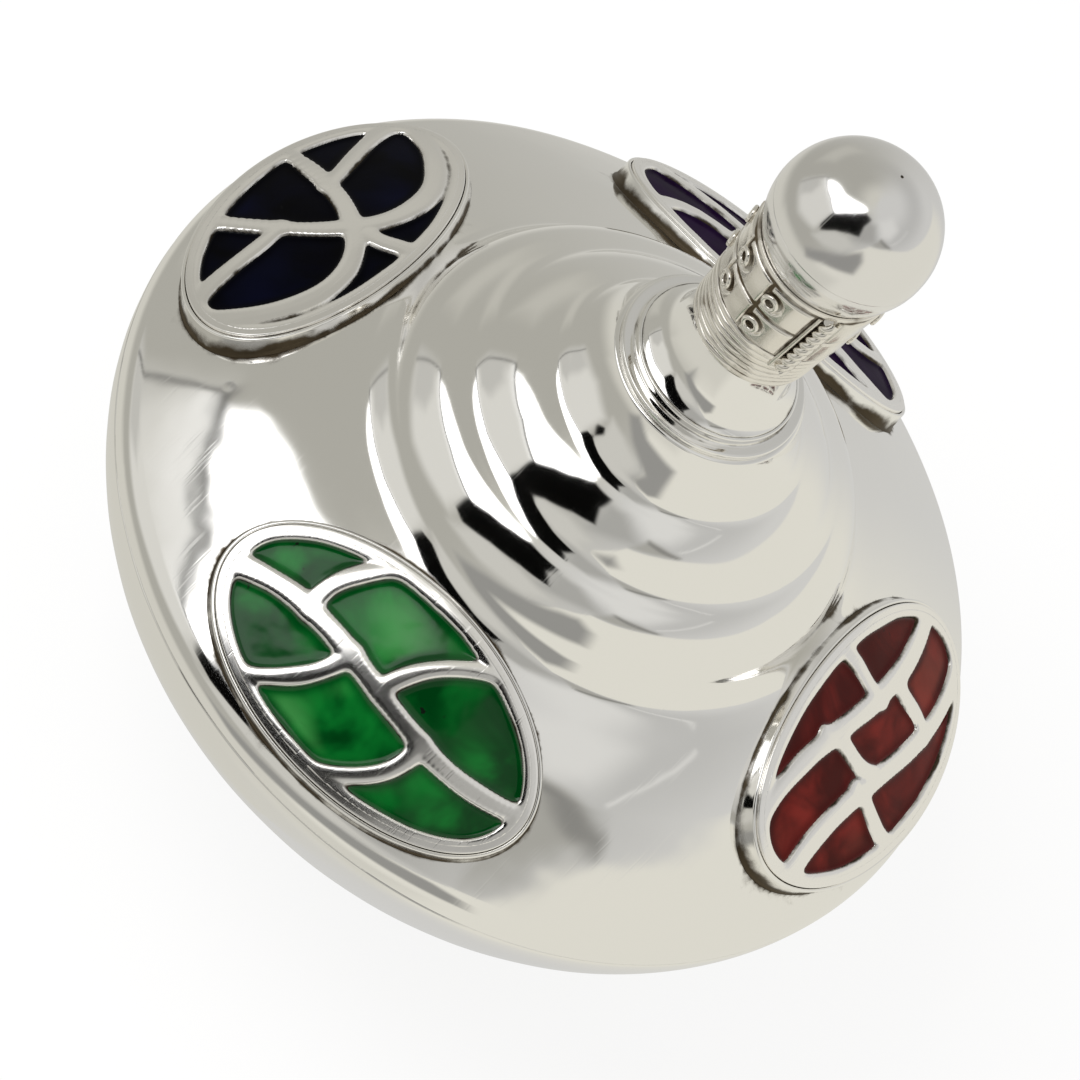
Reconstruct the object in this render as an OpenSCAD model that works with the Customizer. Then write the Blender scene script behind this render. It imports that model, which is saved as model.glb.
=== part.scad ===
// Silver spinning top with four enamelled oval plaques, a rippled shoulder and a ball knob.
// Millimetres. The tip stands at the origin and the spin axis is +Z.

/* [Body] */
// Width of the body at its seam
body_d = 56.8; // [52:0.2:62]
// Height of the seam above the surface that the tip stands on
seam_z = 22.6; // [21:0.1:25]
// Depth of the bowl below the seam
bowl_h = 18.2; // [16:0.1:19]
// Fullness of the bowl: 2 is an ellipse, less is more pointed
bowl_fullness = 1.75; // [1.5:0.05:2.2]
// Thickness of the sheet that the body is spun from
wall = 0.9; // [0.6:0.05:1.2]
// Height of the bowl's lip inside the shoulder
lip_h = 0.6; // [0.4:0.05:0.65]
// Thickness of that lip
lip_t = 0.6; // [0.4:0.05:0.8]

/* [Tip] */
// Radius of the tip at the bowl
tip_r = 1.9; // [1.5:0.1:2.4]
// Radius of the tiny flat that the top spins on
tip_flat_r = 0.5; // [0.3:0.05:0.9]
// Radius of the tip's spigot through the bowl
tip_spigot_r = 1.1; // [0.8:0.05:1.3]
// How far the spigot stands inside the bowl
tip_spigot_stand = 0.9; // [0.5:0.1:1.5]
// Radius of the collar round the tip
tip_collar_r = 3.4; // [3:0.1:4.2]
// Height of that collar
tip_collar_h = 0.9; // [0.6:0.1:1.2]

/* [Stem] */
// Radius of the lower step of the stem collar
collar_low_r = 5.95; // [5.6:0.05:6.1]
// Height of the lower step
collar_low_h = 0.45; // [0.3:0.05:0.7]
// Radius of the upper step
collar_high_r = 5.2; // [4.9:0.05:5.5]
// Height of the upper step
collar_high_h = 0.6; // [0.4:0.05:0.9]
// Depth of the collar's spigot inside the shoulder
collar_spigot_h = 1; // [0.6:0.1:1.6]
// Radius of the rod that joins stem and body
rod_r = 1.5; // [1.2:0.05:1.8]
// Wall of that rod
rod_wall = 0.5; // [0.4:0.05:0.6]
// Radius of the washer that holds the rod under the collar
washer_r = 3.6; // [3:0.1:4.4]
// Thickness of that washer
washer_t = 0.8; // [0.5:0.1:1.2]
// How far the rod stands out of the washer
rod_tail = 0.8; // [0.5:0.1:1.5]
// How far the rod stands inside the knob
rod_head = 0.8; // [0.4:0.1:1.2]

/* [Band] */
// Length of the decorated sleeve
band_h = 8.3; // [7.8:0.05:9]
// Outer radius of the sleeve at its foot
band_foot_r = 3.75; // [3.65:0.05:3.9]
// Outer radius of the sleeve at its top
band_top_r = 4.3; // [4.1:0.05:4.5]
// Thickness of the sleeve
band_wall = 0.5; // [0.4:0.05:0.6]
// Length of the reeded ring at the band's foot
reed_h = 3.25; // [2.6:0.05:3.4]
// How far the reeds stand out of the sleeve
reed_proud = 0.2; // [0.12:0.01:0.25]
// How many reeds the ring has
reed_count = 7; // [5:1:8]
// How far the pads stand out of the sleeve
pad_proud = 0.22; // [0.15:0.01:0.3]
// Space between two rows of pads, below them and above them
pad_gap = 0.2; // [0.2:0.05:0.4]
// Angle between two pads that stand side by side
pad_parting_angle = 1.5; // [1:0.5:4]
// Angle that the zone of a rope strip takes up round the band
rope_zone_angle = 22; // [18:1:28]
// Outer radius of a ring stud
stud_r = 0.58; // [0.5:0.02:0.62]
// Radius of the hollow in a ring stud
stud_hole_r = 0.3; // [0.2:0.02:0.35]
// How far a ring stud stands out of the sleeve
stud_proud = 0.42; // [0.3:0.02:0.5]
// Radius of the wire of a rope strip
rope_r = 0.36; // [0.3:0.02:0.42]
// Height of the plain rim on top of the sleeve
rim_h = 0.35; // [0.25:0.05:0.5]
// How far the rim stands out of the sleeve
rim_proud = 0.15; // [0.15:0.05:0.35]

/* [Knob] */
// How far the ball knob stands out over the top of the sleeve
knob_overhang = 0.7; // [0.5:0.05:1.1]
// Thickness of its two half shells
knob_wall = 0.8; // [0.6:0.05:1]

/* [Plaques] */
// Half length of a face plate, across the body's slope
plate_a = 11.4; // [10.5:0.1:11.8]
// Half width of a face plate, along the slope
plate_b = 6.4; // [6.2:0.1:6.7]
// How far the bezel stands out round the face plate
bezel_edge = 0.3; // [0.2:0.05:0.5]
// Height of the plate's face above the shoulder, at the plate's centre
plate_proud = 0.9; // [0.8:0.05:1.1]
// How far the plate's centre lies down the slope from the body's plain station
plaque_slide = 0.4; // [0.2:0.05:0.5]
// Radius of the dome that the plates are hammered to
dome_r = 60; // [50:5:90]
// Thickness of a face plate
plate_t = 0.45; // [0.35:0.05:0.5]
// How deep the enamel lies below the face
enamel_sink = 0.15; // [0.1:0.05:0.25]
// Width of the plain border round the cells
border_w = 0.85; // [0.6:0.05:1]
// Width of the silver ribbons between the cells
ribbon_w = 1.05; // [0.8:0.05:1.2]

/* [Hidden] */

// Clearance of a part that is pushed into another before it is soldered
fit = 0.03;
// Space between the bowl's lip and the inside of the shoulder
lip_gap = 0.25;
// How far a cutting shape runs past what it cuts
over = 1;
// Segments of a full turn, of one arc of a profile, of an oval and of a ribbon
round_steps = 96;
// The plates' dome is wide and shallow, so it takes finer segments
dome_steps = 3 * round_steps;
arc_steps = 5;
oval_steps = 72;
ribbon_steps = 12;
// Segments of the bowl's curve
bowl_steps = 22;

body_r = body_d / 2;

// The shoulder goes inward from the seam through these stations. The first list holds
// their radii as shares of the body's radius, the second the slope of the surface there
// in degrees. The third station carries the plaques, and the stations after it make
// the ripples: a low slope is a terrace and a high one the riser between two.
shoulder_r_shares = [1, 0.97, 0.7675, 0.628, 0.5885, 0.534, 0.437, 0.3955, 0.298, 0.268, 0.255, 0.218];
shoulder_angles = [90, 37, 34, 23, 26, 70, 24, 52, 26, 57, 54.5, 80];
plaque_station = 2;

// The neck goes up from the collar in the same way, its radii as shares of the collar's
// upper step and of the sleeve's foot
neck_foot_share = 0.97;
neck_bend_share = 0.76;
neck_top_share = 0.965;
neck_angles = [32, 76, 88.5];

// The surface between two stations is an arc, so the height gained follows from the slopes
function rise(ra, rb, sa, sb) = (ra - rb) * tan((sa + sb) / 2);
function heights(r, s, z0) =
    [for (i = 0, z = z0; i < len(r);
          z = i < len(r) - 1 ? z + rise(r[i], r[i + 1], s[i], s[i + 1]) : z, i = i + 1) z];
function arc_point(ra, rb, za, sa, sb, t) =
    let (s = sa + (sb - sa) * t, k = (ra - rb) / (sin(sb) - sin(sa)))
    [ra - k * (sin(s) - sin(sa)), za + k * (cos(sa) - cos(s)), s];
// Points along a profile, each with its slope
function profile(r, s, z0) =
    let (z = heights(r, s, z0), last = len(r) - 1)
    concat(
        [for (i = [0 : last - 1], k = [0 : arc_steps - 1])
            arc_point(r[i], r[i + 1], z[i], s[i], s[i + 1], k / arc_steps)],
        [[r[last], z[last], s[last]]]);
// The same points moved inward by a thickness
function inset(p, t) = [for (q = p) [q[0] - t * sin(q[2]), q[1] - t * cos(q[2])]];
function flip(p) = [for (i = [len(p) - 1 : -1 : 0]) p[i]];
function plain(p) = [for (q = p) [q[0], q[1]]];

shoulder_r = body_r * shoulder_r_shares;
shoulder_z = heights(shoulder_r, shoulder_angles, seam_z);
shoulder_line = profile(shoulder_r, shoulder_angles, seam_z);
cone_top_r = shoulder_r[len(shoulder_r) - 1];
cone_top_z = shoulder_z[len(shoulder_z) - 1];
cone_mouth_r = cone_top_r - wall;

collar_top_z = cone_top_z + collar_low_h + collar_high_h;
neck_r = [neck_foot_share * collar_high_r, neck_bend_share * collar_high_r, neck_top_share * band_foot_r];
neck_line = profile(neck_r, neck_angles, collar_top_z);
band_z = heights(neck_r, neck_angles, collar_top_z)[2];
band_top_z = band_z + band_h;
rim_top_z = band_top_z + rim_h;
rim_r = band_top_r + rim_proud;
knob_r = band_top_r + knob_overhang;
knob_z = rim_top_z + sqrt(knob_r * knob_r - band_top_r * band_top_r);

// Outer radius of the sleeve at a height above its foot
function band_r(h) = band_foot_r + (band_top_r - band_foot_r) * h / band_h;
// Lean of the sleeve's side
band_lean_angle = atan((band_top_r - band_foot_r) / band_h);

// Each half of the band has a rope strip and then a few columns of pads, two pads high.
// Every pad but the first has a ring stud near its start.
rope_angles = [-50, 130];
pads_per_half = 4;
pad_pitch_angle = (360 / len(rope_angles) - rope_zone_angle) / pads_per_half;
pad_angle = pad_pitch_angle - pad_parting_angle;
pad_angles = [for (a = rope_angles, i = [0 : pads_per_half - 1])
    a + rope_zone_angle / 2 + pad_parting_angle / 2 + i * pad_pitch_angle];
stud_angle = 6.5;
pad_rows = 2;
pad_h = (band_h - reed_h - (pad_rows + 1) * pad_gap) / pad_rows;
row_h = [for (i = [0 : pad_rows - 1]) reed_h + pad_gap + i * (pad_h + pad_gap)];

// Bowl: half of a superellipse
quarter_angle = 90;
bowl_z = seam_z - bowl_h;
function bowl_point(r, h, a) =
    [r * pow(cos(a), 2 / bowl_fullness), seam_z - h * pow(sin(a), 2 / bowl_fullness)];
function bowl_curve(r, h) = [for (i = [0 : bowl_steps]) bowl_point(r, h, quarter_angle * i / bowl_steps)];

// Plaques stand on the shoulder, their faces a little flatter than its slope
plaque_ease_angle = 4;
plaque_r = shoulder_r[plaque_station];
plaque_z = shoulder_z[plaque_station];
plaque_tilt_angle = shoulder_angles[plaque_station] - plaque_ease_angle;
bezel_a = plate_a + bezel_edge;
bezel_b = plate_b + bezel_edge;
window_a = plate_a - border_w;
window_b = plate_b - border_w;
// A bezel blank reaches this far below the face before its foot is cut to the shoulder
bezel_depth = 5 * plate_t + plate_proud;
// Places of the four plaques round the body, in degrees
green_angle = -91.5;
red_angle = 1.7;
purple_angle = 93;
black_angle = 180.8;

silver = [0.80, 0.79, 0.76];
dark_silver = [0.62, 0.60, 0.56];
green = [0.02, 0.32, 0.08];
red = [0.42, 0.12, 0.09];
purple = [0.16, 0.07, 0.24];
black = [0.02, 0.02, 0.05];

// Solid of the outer shape of the shoulder, which trims what is seated on it
module shoulder_body() {
    rotate_extrude($fn = round_steps)
        polygon(concat([[0, seam_z]], plain(shoulder_line), [[0, cone_top_z]]));
}

// Solid of the outer shape of the bowl
module bowl_body() {
    rotate_extrude($fn = round_steps)
        polygon(concat([[0, seam_z]], bowl_curve(body_r, bowl_h)));
}

// Solid of the outer shape of the sleeve, run past both its ends
module sleeve_body() {
    translate([0, 0, band_z - over])
        cylinder(r1 = band_r(-over), r2 = band_r(band_h + over), h = band_h + 2 * over, $fn = round_steps);
}

module ring(outer_r, inner_r, h) {
    difference() {
        cylinder(r = outer_r, h = h, $fn = round_steps);
        translate([0, 0, -over]) cylinder(r = inner_r, h = h + 2 * over, $fn = round_steps);
    }
}

// Spun lower half, with a lip that locates the shoulder and a hole for the tip
module lower_bowl() {
    color(silver) difference() {
        union() {
            rotate_extrude($fn = round_steps)
                polygon(concat(bowl_curve(body_r, bowl_h), flip(bowl_curve(body_r - wall, bowl_h - wall))));
            translate([0, 0, seam_z - lip_h])
                ring(body_r - wall, body_r - wall - lip_t, lip_h);
            translate([0, 0, seam_z])
                ring(body_r - wall - lip_gap, body_r - wall - lip_t, lip_h);
        }
        translate([0, 0, bowl_z - over])
            cylinder(r = tip_spigot_r + fit, h = wall + 2 * over, $fn = round_steps);
    }
}

// Spun upper half with its terraces, open under the stem collar
module shoulder_shell() {
    color(silver) rotate_extrude($fn = round_steps)
        polygon(concat(
            plain(shoulder_line),
            [[cone_mouth_r, cone_top_z]],
            flip(inset(shoulder_line, wall))));
}

// Turned point with a spigot through the bowl
module spinning_tip() {
    color(silver) {
        cylinder(r1 = tip_flat_r, r2 = tip_r, h = bowl_z, $fn = round_steps);
        translate([0, 0, bowl_z])
            cylinder(r = tip_spigot_r, h = wall + tip_spigot_stand, $fn = round_steps);
    }
}

// Washer that carries the load of the tip into the bowl
module tip_collar() {
    color(silver) difference() {
        translate([0, 0, bowl_z - tip_collar_h])
            cylinder(r1 = (tip_r + tip_collar_r) / 2, r2 = tip_collar_r, h = 2 * tip_collar_h,
                     $fn = round_steps);
        bowl_body();
        cylinder(r1 = tip_flat_r + fit, r2 = tip_r + fit, h = bowl_z, $fn = round_steps);
        translate([0, 0, bowl_z - fit]) cylinder(r = tip_r + fit, h = over, $fn = round_steps);
    }
}

// Turned collar with two steps, its spigot centred in the mouth of the shoulder
module stem_collar() {
    color(silver) difference() {
        union() {
            translate([0, 0, cone_top_z - collar_spigot_h])
                cylinder(r = cone_mouth_r - fit, h = collar_spigot_h, $fn = round_steps);
            translate([0, 0, cone_top_z])
                cylinder(r = collar_low_r, h = collar_low_h, $fn = round_steps);
            translate([0, 0, cone_top_z + collar_low_h])
                cylinder(r = collar_high_r, h = collar_high_h, $fn = round_steps);
        }
        translate([0, 0, cone_top_z - collar_spigot_h - over])
            cylinder(r = rod_r + fit, h = collar_spigot_h + collar_low_h + collar_high_h + 2 * over,
                     $fn = round_steps);
    }
}

// Washer soldered to the rod inside the body
module anchor_washer() {
    color(dark_silver) translate([0, 0, cone_top_z - collar_spigot_h - washer_t])
        ring(washer_r, rod_r + fit, washer_t);
}

// Tube that threads washer, collar, neck, band and knob together
module stem_rod() {
    rod_z = cone_top_z - collar_spigot_h - washer_t - rod_tail;
    rod_top_z = knob_z - knob_r + knob_wall + rod_head;
    color(dark_silver) translate([0, 0, rod_z]) ring(rod_r, rod_r - rod_wall, rod_top_z - rod_z);
}

// Polished neck, hollowed outside like a trumpet
module stem_neck() {
    color(silver) difference() {
        rotate_extrude($fn = round_steps)
            polygon(concat([[0, collar_top_z]], plain(neck_line), [[0, band_z]]));
        translate([0, 0, collar_top_z - over])
            cylinder(r = rod_r + fit, h = band_z - collar_top_z + 2 * over, $fn = round_steps);
    }
}

// Flared tube under the ornament of the band
module band_sleeve() {
    color(dark_silver) difference() {
        translate([0, 0, band_z])
            cylinder(r1 = band_foot_r, r2 = band_top_r, h = band_h, $fn = round_steps);
        translate([0, 0, band_z - over])
            cylinder(r1 = band_r(-over) - band_wall, r2 = band_r(band_h + over) - band_wall,
                     h = band_h + 2 * over, $fn = round_steps);
        translate([0, 0, knob_z]) sphere(r = knob_r, $fn = round_steps);
    }
}

// Ring of half round reeds at the foot of the sleeve
reed_step = reed_h / reed_count;
function reed_point(i, a) =
    [band_r((i + 0.5) * reed_step) + reed_proud * sin(a), (i + 0.5) * reed_step - reed_step / 2 * cos(a)];
module reeded_ring() {
    color(silver) translate([0, 0, band_z]) rotate_extrude($fn = round_steps)
        polygon(concat(
            [[band_r(0), 0]],
            [for (i = [0 : reed_count - 1], a = [15 : 30 : 165]) reed_point(i, a)],
            [[band_r(reed_h), reed_h]]));
}

// Seated square on the side of the sleeve, at an angle round it and a height above its foot
module on_band(angle, h) {
    rotate([0, 0, angle]) translate([band_r(h), 0, band_z + h])
        rotate([0, quarter_angle + band_lean_angle, 0]) children();
}

// Raised pads, each hollowed round its stud
module band_pads() {
    color(dark_silver) for (i = [0 : len(pad_angles) - 1], h = row_h)
        difference() {
            rotate([0, 0, pad_angles[i]]) translate([0, 0, band_z])
                rotate_extrude(angle = pad_angle, $fn = round_steps)
                    polygon([
                        [band_r(h), h],
                        [band_r(h) + pad_proud, h],
                        [band_r(h + pad_h) + pad_proud, h + pad_h],
                        [band_r(h + pad_h), h + pad_h]]);
            if (i % pads_per_half > 0)
                on_band(pad_angles[i] + stud_angle, h + pad_h / 2) translate([0, 0, -over])
                    cylinder(r = stud_r + fit, h = pad_proud + 2 * over, $fn = round_steps / 2);
        }
}

// Hollow ring studs, one at each pad but the first after a rope strip, which is plain
module ring_studs() {
    color(silver) for (i = [0 : len(pad_angles) - 1], h = row_h) if (i % pads_per_half > 0)
        on_band(pad_angles[i] + stud_angle, h + pad_h / 2) ring(stud_r, stud_hole_r, stud_proud);
}

// Strips of twisted wire, drawn as plain round wire, from the reeds to the rim
module rope_strips() {
    color(silver) difference() {
        for (a = rope_angles)
            rotate([0, 0, a]) translate([band_r(reed_h), 0, band_z + reed_h]) rotate([0, band_lean_angle, 0])
                cylinder(r = rope_r, h = band_h - reed_h - fit, $fn = round_steps / 2);
        sleeve_body();
    }
}

// Plain rim with a seat for the ball
module band_rim() {
    color(silver) difference() {
        translate([0, 0, band_top_z]) cylinder(r = rim_r, h = rim_h, $fn = round_steps);
        translate([0, 0, knob_z]) sphere(r = knob_r, $fn = round_steps);
        translate([0, 0, band_top_z - over])
            cylinder(r = band_top_r - band_wall, h = rim_h + 2 * over, $fn = round_steps);
    }
}

module knob_shell() {
    difference() {
        sphere(r = knob_r, $fn = round_steps);
        sphere(r = knob_r - knob_wall, $fn = round_steps);
    }
}

// Lower half of the ball, bored for the rod
module knob_lower_half() {
    color(silver) translate([0, 0, knob_z]) difference() {
        knob_shell();
        translate([0, 0, knob_r]) cube(2 * knob_r, center = true);
        translate([0, 0, -knob_r - over]) cylinder(r = rod_r + fit, h = knob_r + over, $fn = round_steps);
    }
}

// Upper half of the ball
module knob_upper_half() {
    color(silver) translate([0, 0, knob_z]) difference() {
        knob_shell();
        translate([0, 0, -knob_r]) cube(2 * knob_r, center = true);
    }
}

// A plaque's own frame: the face's middle at zero, x across the slope and y up it
module plaque_place(angle) {
    rotate([0, 0, angle]) translate([plaque_r, 0, plaque_z])
        rotate([0, plaque_tilt_angle, 0]) rotate([0, 0, quarter_angle])
            translate([0, -plaque_slide, plate_proud]) children();
}

module oval(a, b) {
    polygon([for (i = [0 : oval_steps - 1])
        [a * cos(360 * i / oval_steps), b * sin(360 * i / oval_steps)]]);
}

// A silver ribbon along a curve with four control points, given as shares of the window,
// and with its width at both ends as shares of the ribbon width
function bezier(p, t) =
    pow(1 - t, 3) * p[0] + 3 * t * pow(1 - t, 2) * p[1] + 3 * t * t * (1 - t) * p[2] + pow(t, 3) * p[3];
function heading(p, t) =
    pow(1 - t, 2) * (p[1] - p[0]) + 2 * t * (1 - t) * (p[2] - p[1]) + t * t * (p[3] - p[2]);
function side(p, t, w) =
    let (h = heading(p, t)) bezier(p, t) + w / 2 * [-h[1], h[0]] / norm(h);
function width_at(w, t) = w[0] + (w[1] - w[0]) * t;
module ribbon(shares) {
    p = [for (i = [0 : 3]) [shares[i][0] * window_a, shares[i][1] * window_b]];
    w = [shares[4] * ribbon_w, shares[5] * ribbon_w];
    polygon(concat(
        [for (i = [0 : ribbon_steps]) side(p, i / ribbon_steps, width_at(w, i / ribbon_steps))],
        [for (i = [ribbon_steps : -1 : 0]) side(p, i / ribbon_steps, -width_at(w, i / ribbon_steps))]));
}

// Leaf spray: a waved stem with side veins
spray_shares = [
    [[-1.1, -0.25], [-0.4, 0.6], [0.35, -0.65], [1.1, 0.25], 1.3, 1],
    [[-0.55, 0.05], [-0.62, 0.4], [-0.5, 0.8], [-0.3, 1.15], 1, 0.8],
    [[0.02, 0], [0.05, 0.4], [0.2, 0.8], [0.5, 1.1], 1, 0.8],
    [[-0.22, 0.05], [-0.25, -0.35], [-0.4, -0.75], [-0.68, -1.05], 1, 0.8],
    [[0.38, -0.1], [0.42, -0.5], [0.3, -0.8], [0.02, -1.15], 1, 0.8]];

// Waves: two long waves with short bars between them
wave_shares = [
    [[-1.1, 0.3], [-0.4, 0.95], [0.3, -0.2], [1.1, 0.55], 1, 1.3],
    [[-1.1, -0.45], [-0.3, 0.2], [0.4, -1], [1.1, -0.25], 1.3, 1],
    [[-0.3, 0.55], [-0.15, 0.3], [-0.25, 0.05], [-0.12, -0.25], 0.8, 1],
    [[0.45, 0.25], [0.35, 0.05], [0.52, -0.2], [0.42, -0.5], 1, 0.8],
    [[0.12, 1.1], [0.22, 0.8], [0.15, 0.5], [0.22, 0.25], 1, 0.8],
    [[-0.2, -1.1], [-0.3, -0.8], [-0.2, -0.5], [-0.28, -0.2], 1, 0.8]];

// Arches: two that cross, with a bar over the crossing and one in each side bay
arch_shares = [
    [[-1.1, -0.35], [-0.7, 1.15], [0.1, 1.1], [0.4, -1.15], 1.3, 1],
    [[1.1, -0.35], [0.7, 1.15], [-0.1, 1.1], [-0.4, -1.15], 1.3, 1],
    [[0, 0.55], [0.05, 0.75], [-0.05, 0.95], [0, 1.15], 1, 1.2],
    [[-1.05, -0.4], [-0.75, -0.5], [-0.5, -0.3], [-0.22, -0.3], 1, 0.8],
    [[1.05, -0.4], [0.75, -0.5], [0.5, -0.3], [0.22, -0.3], 1, 0.8]];

// Pinwheel: a ring with turned spokes round it
pinwheel_spokes = 6;
pinwheel_start_share = 0.25;
pinwheel_turn_angle = 28;
pinwheel_a_share = 0.27;
pinwheel_b_share = 0.4;
module pinwheel() {
    difference() {
        oval(pinwheel_a_share * window_a + ribbon_w, pinwheel_b_share * window_b + ribbon_w);
        oval(pinwheel_a_share * window_a, pinwheel_b_share * window_b);
    }
    for (i = [0 : pinwheel_spokes - 1])
        let (a = 360 * (i + pinwheel_start_share) / pinwheel_spokes)
        ribbon([
            [pinwheel_a_share * 1.25 * cos(a), pinwheel_b_share * 1.25 * sin(a)],
            [0.6 * cos(a), 0.65 * sin(a)],
            [0.85 * cos(a + pinwheel_turn_angle / 3), 0.85 * sin(a + pinwheel_turn_angle / 3)],
            [1.1 * cos(a + pinwheel_turn_angle), 1.1 * sin(a + pinwheel_turn_angle)], 1, 1]);
}

module spray() { for (s = spray_shares) ribbon(s); }
module waves() { for (s = wave_shares) ribbon(s); }
module arches() { for (s = arch_shares) ribbon(s); }

// Ball that ends at a depth below the plates' domed faces
module dome(depth) {
    translate([0, 0, -dome_r]) sphere(r = dome_r - depth, $fn = dome_steps);
}

// Solid between two such depths, as seen from above in the shape of its children
module domed_sheet(high, low) {
    intersection() {
        translate([0, 0, -bezel_depth]) linear_extrude(bezel_depth + over) children();
        difference() {
            dome(high);
            dome(low);
        }
    }
}

// Oval slab with a domed top whose foot is cut to the shoulder
module bezel(angle) {
    color(silver) difference() {
        plaque_place(angle) intersection() {
            translate([0, 0, -bezel_depth]) linear_extrude(bezel_depth) oval(bezel_a, bezel_b);
            dome(plate_t);
        }
        shoulder_body();
        bowl_body();
    }
}

// Face plate, pierced with the cells; its children are the ribbons
module plate(angle) {
    color(silver) plaque_place(angle) domed_sheet(0, plate_t) union() {
        difference() {
            oval(plate_a, plate_b);
            oval(window_a, window_b);
        }
        intersection() {
            oval(window_a, window_b);
            children();
        }
    }
}

// Enamel that fills the cells; its children are the ribbons
module enamel(angle, tint) {
    color(tint) plaque_place(angle) domed_sheet(enamel_sink, plate_t) difference() {
        oval(window_a, window_b);
        children();
    }
}

module green_bezel() { bezel(green_angle); }
module green_plate() { plate(green_angle) spray(); }
module green_enamel() { enamel(green_angle, green) spray(); }
module red_bezel() { bezel(red_angle); }
module red_plate() { plate(red_angle) waves(); }
module red_enamel() { enamel(red_angle, red) waves(); }
module purple_bezel() { bezel(purple_angle); }
module purple_plate() { plate(purple_angle) pinwheel(); }
module purple_enamel() { enamel(purple_angle, purple) pinwheel(); }
module black_bezel() { bezel(black_angle); }
module black_plate() { plate(black_angle) arches(); }
module black_enamel() { enamel(black_angle, black) arches(); }

lower_bowl();
shoulder_shell();
spinning_tip();
tip_collar();
stem_collar();
anchor_washer();
stem_rod();
stem_neck();
band_sleeve();
reeded_ring();
band_pads();
ring_studs();
rope_strips();
band_rim();
knob_lower_half();
knob_upper_half();
green_bezel();
green_plate();
green_enamel();
red_bezel();
red_plate();
red_enamel();
purple_bezel();
purple_plate();
purple_enamel();
black_bezel();
black_plate();
black_enamel();
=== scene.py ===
# %% [markdown]
# # A silver dreidel with enamelled plaques
# The real top is spun and turned from silver sheet and rod. Four oval plaques with enamel in
# pierced silver sit round its shoulder, and a band of small ornaments wraps the stem under a
# ball. Polished metal shows its surroundings more than its own colour, so in this lesson the
# shapes, the fine finish and what stands round the object all matter alike.

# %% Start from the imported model
import math
import bpy
import bmesh
import numpy as np
from mathutils import Matrix, Vector


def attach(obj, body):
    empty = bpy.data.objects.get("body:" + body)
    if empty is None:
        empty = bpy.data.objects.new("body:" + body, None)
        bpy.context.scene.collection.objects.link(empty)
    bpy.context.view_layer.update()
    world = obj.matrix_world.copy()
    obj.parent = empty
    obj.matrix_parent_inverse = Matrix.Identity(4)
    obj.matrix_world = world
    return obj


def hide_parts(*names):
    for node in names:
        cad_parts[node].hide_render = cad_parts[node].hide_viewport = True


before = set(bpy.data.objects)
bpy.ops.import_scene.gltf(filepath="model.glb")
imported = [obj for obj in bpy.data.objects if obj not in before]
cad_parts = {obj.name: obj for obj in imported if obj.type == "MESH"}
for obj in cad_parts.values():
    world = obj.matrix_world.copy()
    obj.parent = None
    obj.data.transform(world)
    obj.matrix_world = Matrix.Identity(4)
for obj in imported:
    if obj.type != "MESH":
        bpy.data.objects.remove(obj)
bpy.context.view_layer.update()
scene = bpy.context.scene
print("solids in the frame:", len(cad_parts))

# %% [markdown]
# ## Sizes
# These are the sizes of the solids, in millimetres, so each finished piece fits over the solid
# that it stands for. The body's side is a chain of arcs through a few stations: a radius and
# the slope of the surface there. Low slopes are terraces and high ones are the risers.

# %% Sizes of the top
MM = 0.001
BODY_R = 28.4
SEAM_Z = 22.6
BOWL_H = 18.2
BOWL_FULLNESS = 1.75
WALL = 0.9
SHOULDER_R = BODY_R * np.array([
    1, 0.97, 0.7675, 0.628, 0.5885, 0.534, 0.437, 0.3955, 0.298, 0.268, 0.255, 0.218])
SHOULDER_SLOPE = np.array([90, 37, 34, 23, 26, 70, 24, 52, 26, 57, 54.5, 80])
COLLAR_LOW_R, COLLAR_LOW_H = 5.95, 0.45
COLLAR_HIGH_R, COLLAR_HIGH_H = 5.2, 0.6
BAND_H, BAND_FOOT_R, BAND_TOP_R = 8.3, 3.75, 4.3
REED_H, REED_COUNT = 3.25, 7
PAD_GAP = 0.2
RIM_H = 0.35
BALL_R = 5.0
PLATE_A, PLATE_B = 11.4, 6.4
PLATE_PROUD, PLATE_SLIDE = 0.9, 0.4
PLATE_T = 0.45
BORDER_W = 0.85
RIBBON_W = 1.05


def side_line(radii, slopes, z0, step=0.14):
    """Radius, height and slope along the arcs between the stations."""
    line = []
    z = z0
    for ra, rb, sa, sb in zip(radii, radii[1:], np.radians(slopes), np.radians(slopes[1:])):
        k = (ra - rb) / (math.sin(sb) - math.sin(sa))
        count = max(4, round(abs(k * (sb - sa)) / step))
        for i in range(count):
            s = sa + (sb - sa) * i / count
            line.append((ra - k * (math.sin(s) - math.sin(sa)), z + k * (math.cos(sa) - math.cos(s)), s))
        z += (ra - rb) * math.tan((sa + sb) / 2)
    line.append((radii[-1], z, math.radians(slopes[-1])))
    return np.array(line)


SHOULDER = side_line(SHOULDER_R, SHOULDER_SLOPE, SEAM_Z)
CONE_TOP_Z = SHOULDER[-1, 1]
COLLAR_TOP_Z = CONE_TOP_Z + COLLAR_LOW_H + COLLAR_HIGH_H
NECK = side_line(np.array([0.97 * COLLAR_HIGH_R, 0.76 * COLLAR_HIGH_R, 0.965 * BAND_FOOT_R]),
                 [32, 76, 88.5], COLLAR_TOP_Z, 0.1)
BAND_Z = NECK[-1, 1]
BAND_TOP_Z = BAND_Z + BAND_H
RIM_TOP_Z = BAND_TOP_Z + RIM_H
BALL_Z = RIM_TOP_Z + math.sqrt(BALL_R ** 2 - BAND_TOP_R ** 2)
print("heights of cone, band and ball:", round(CONE_TOP_Z, 2), round(BAND_Z, 2), round(BALL_Z, 2))

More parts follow.
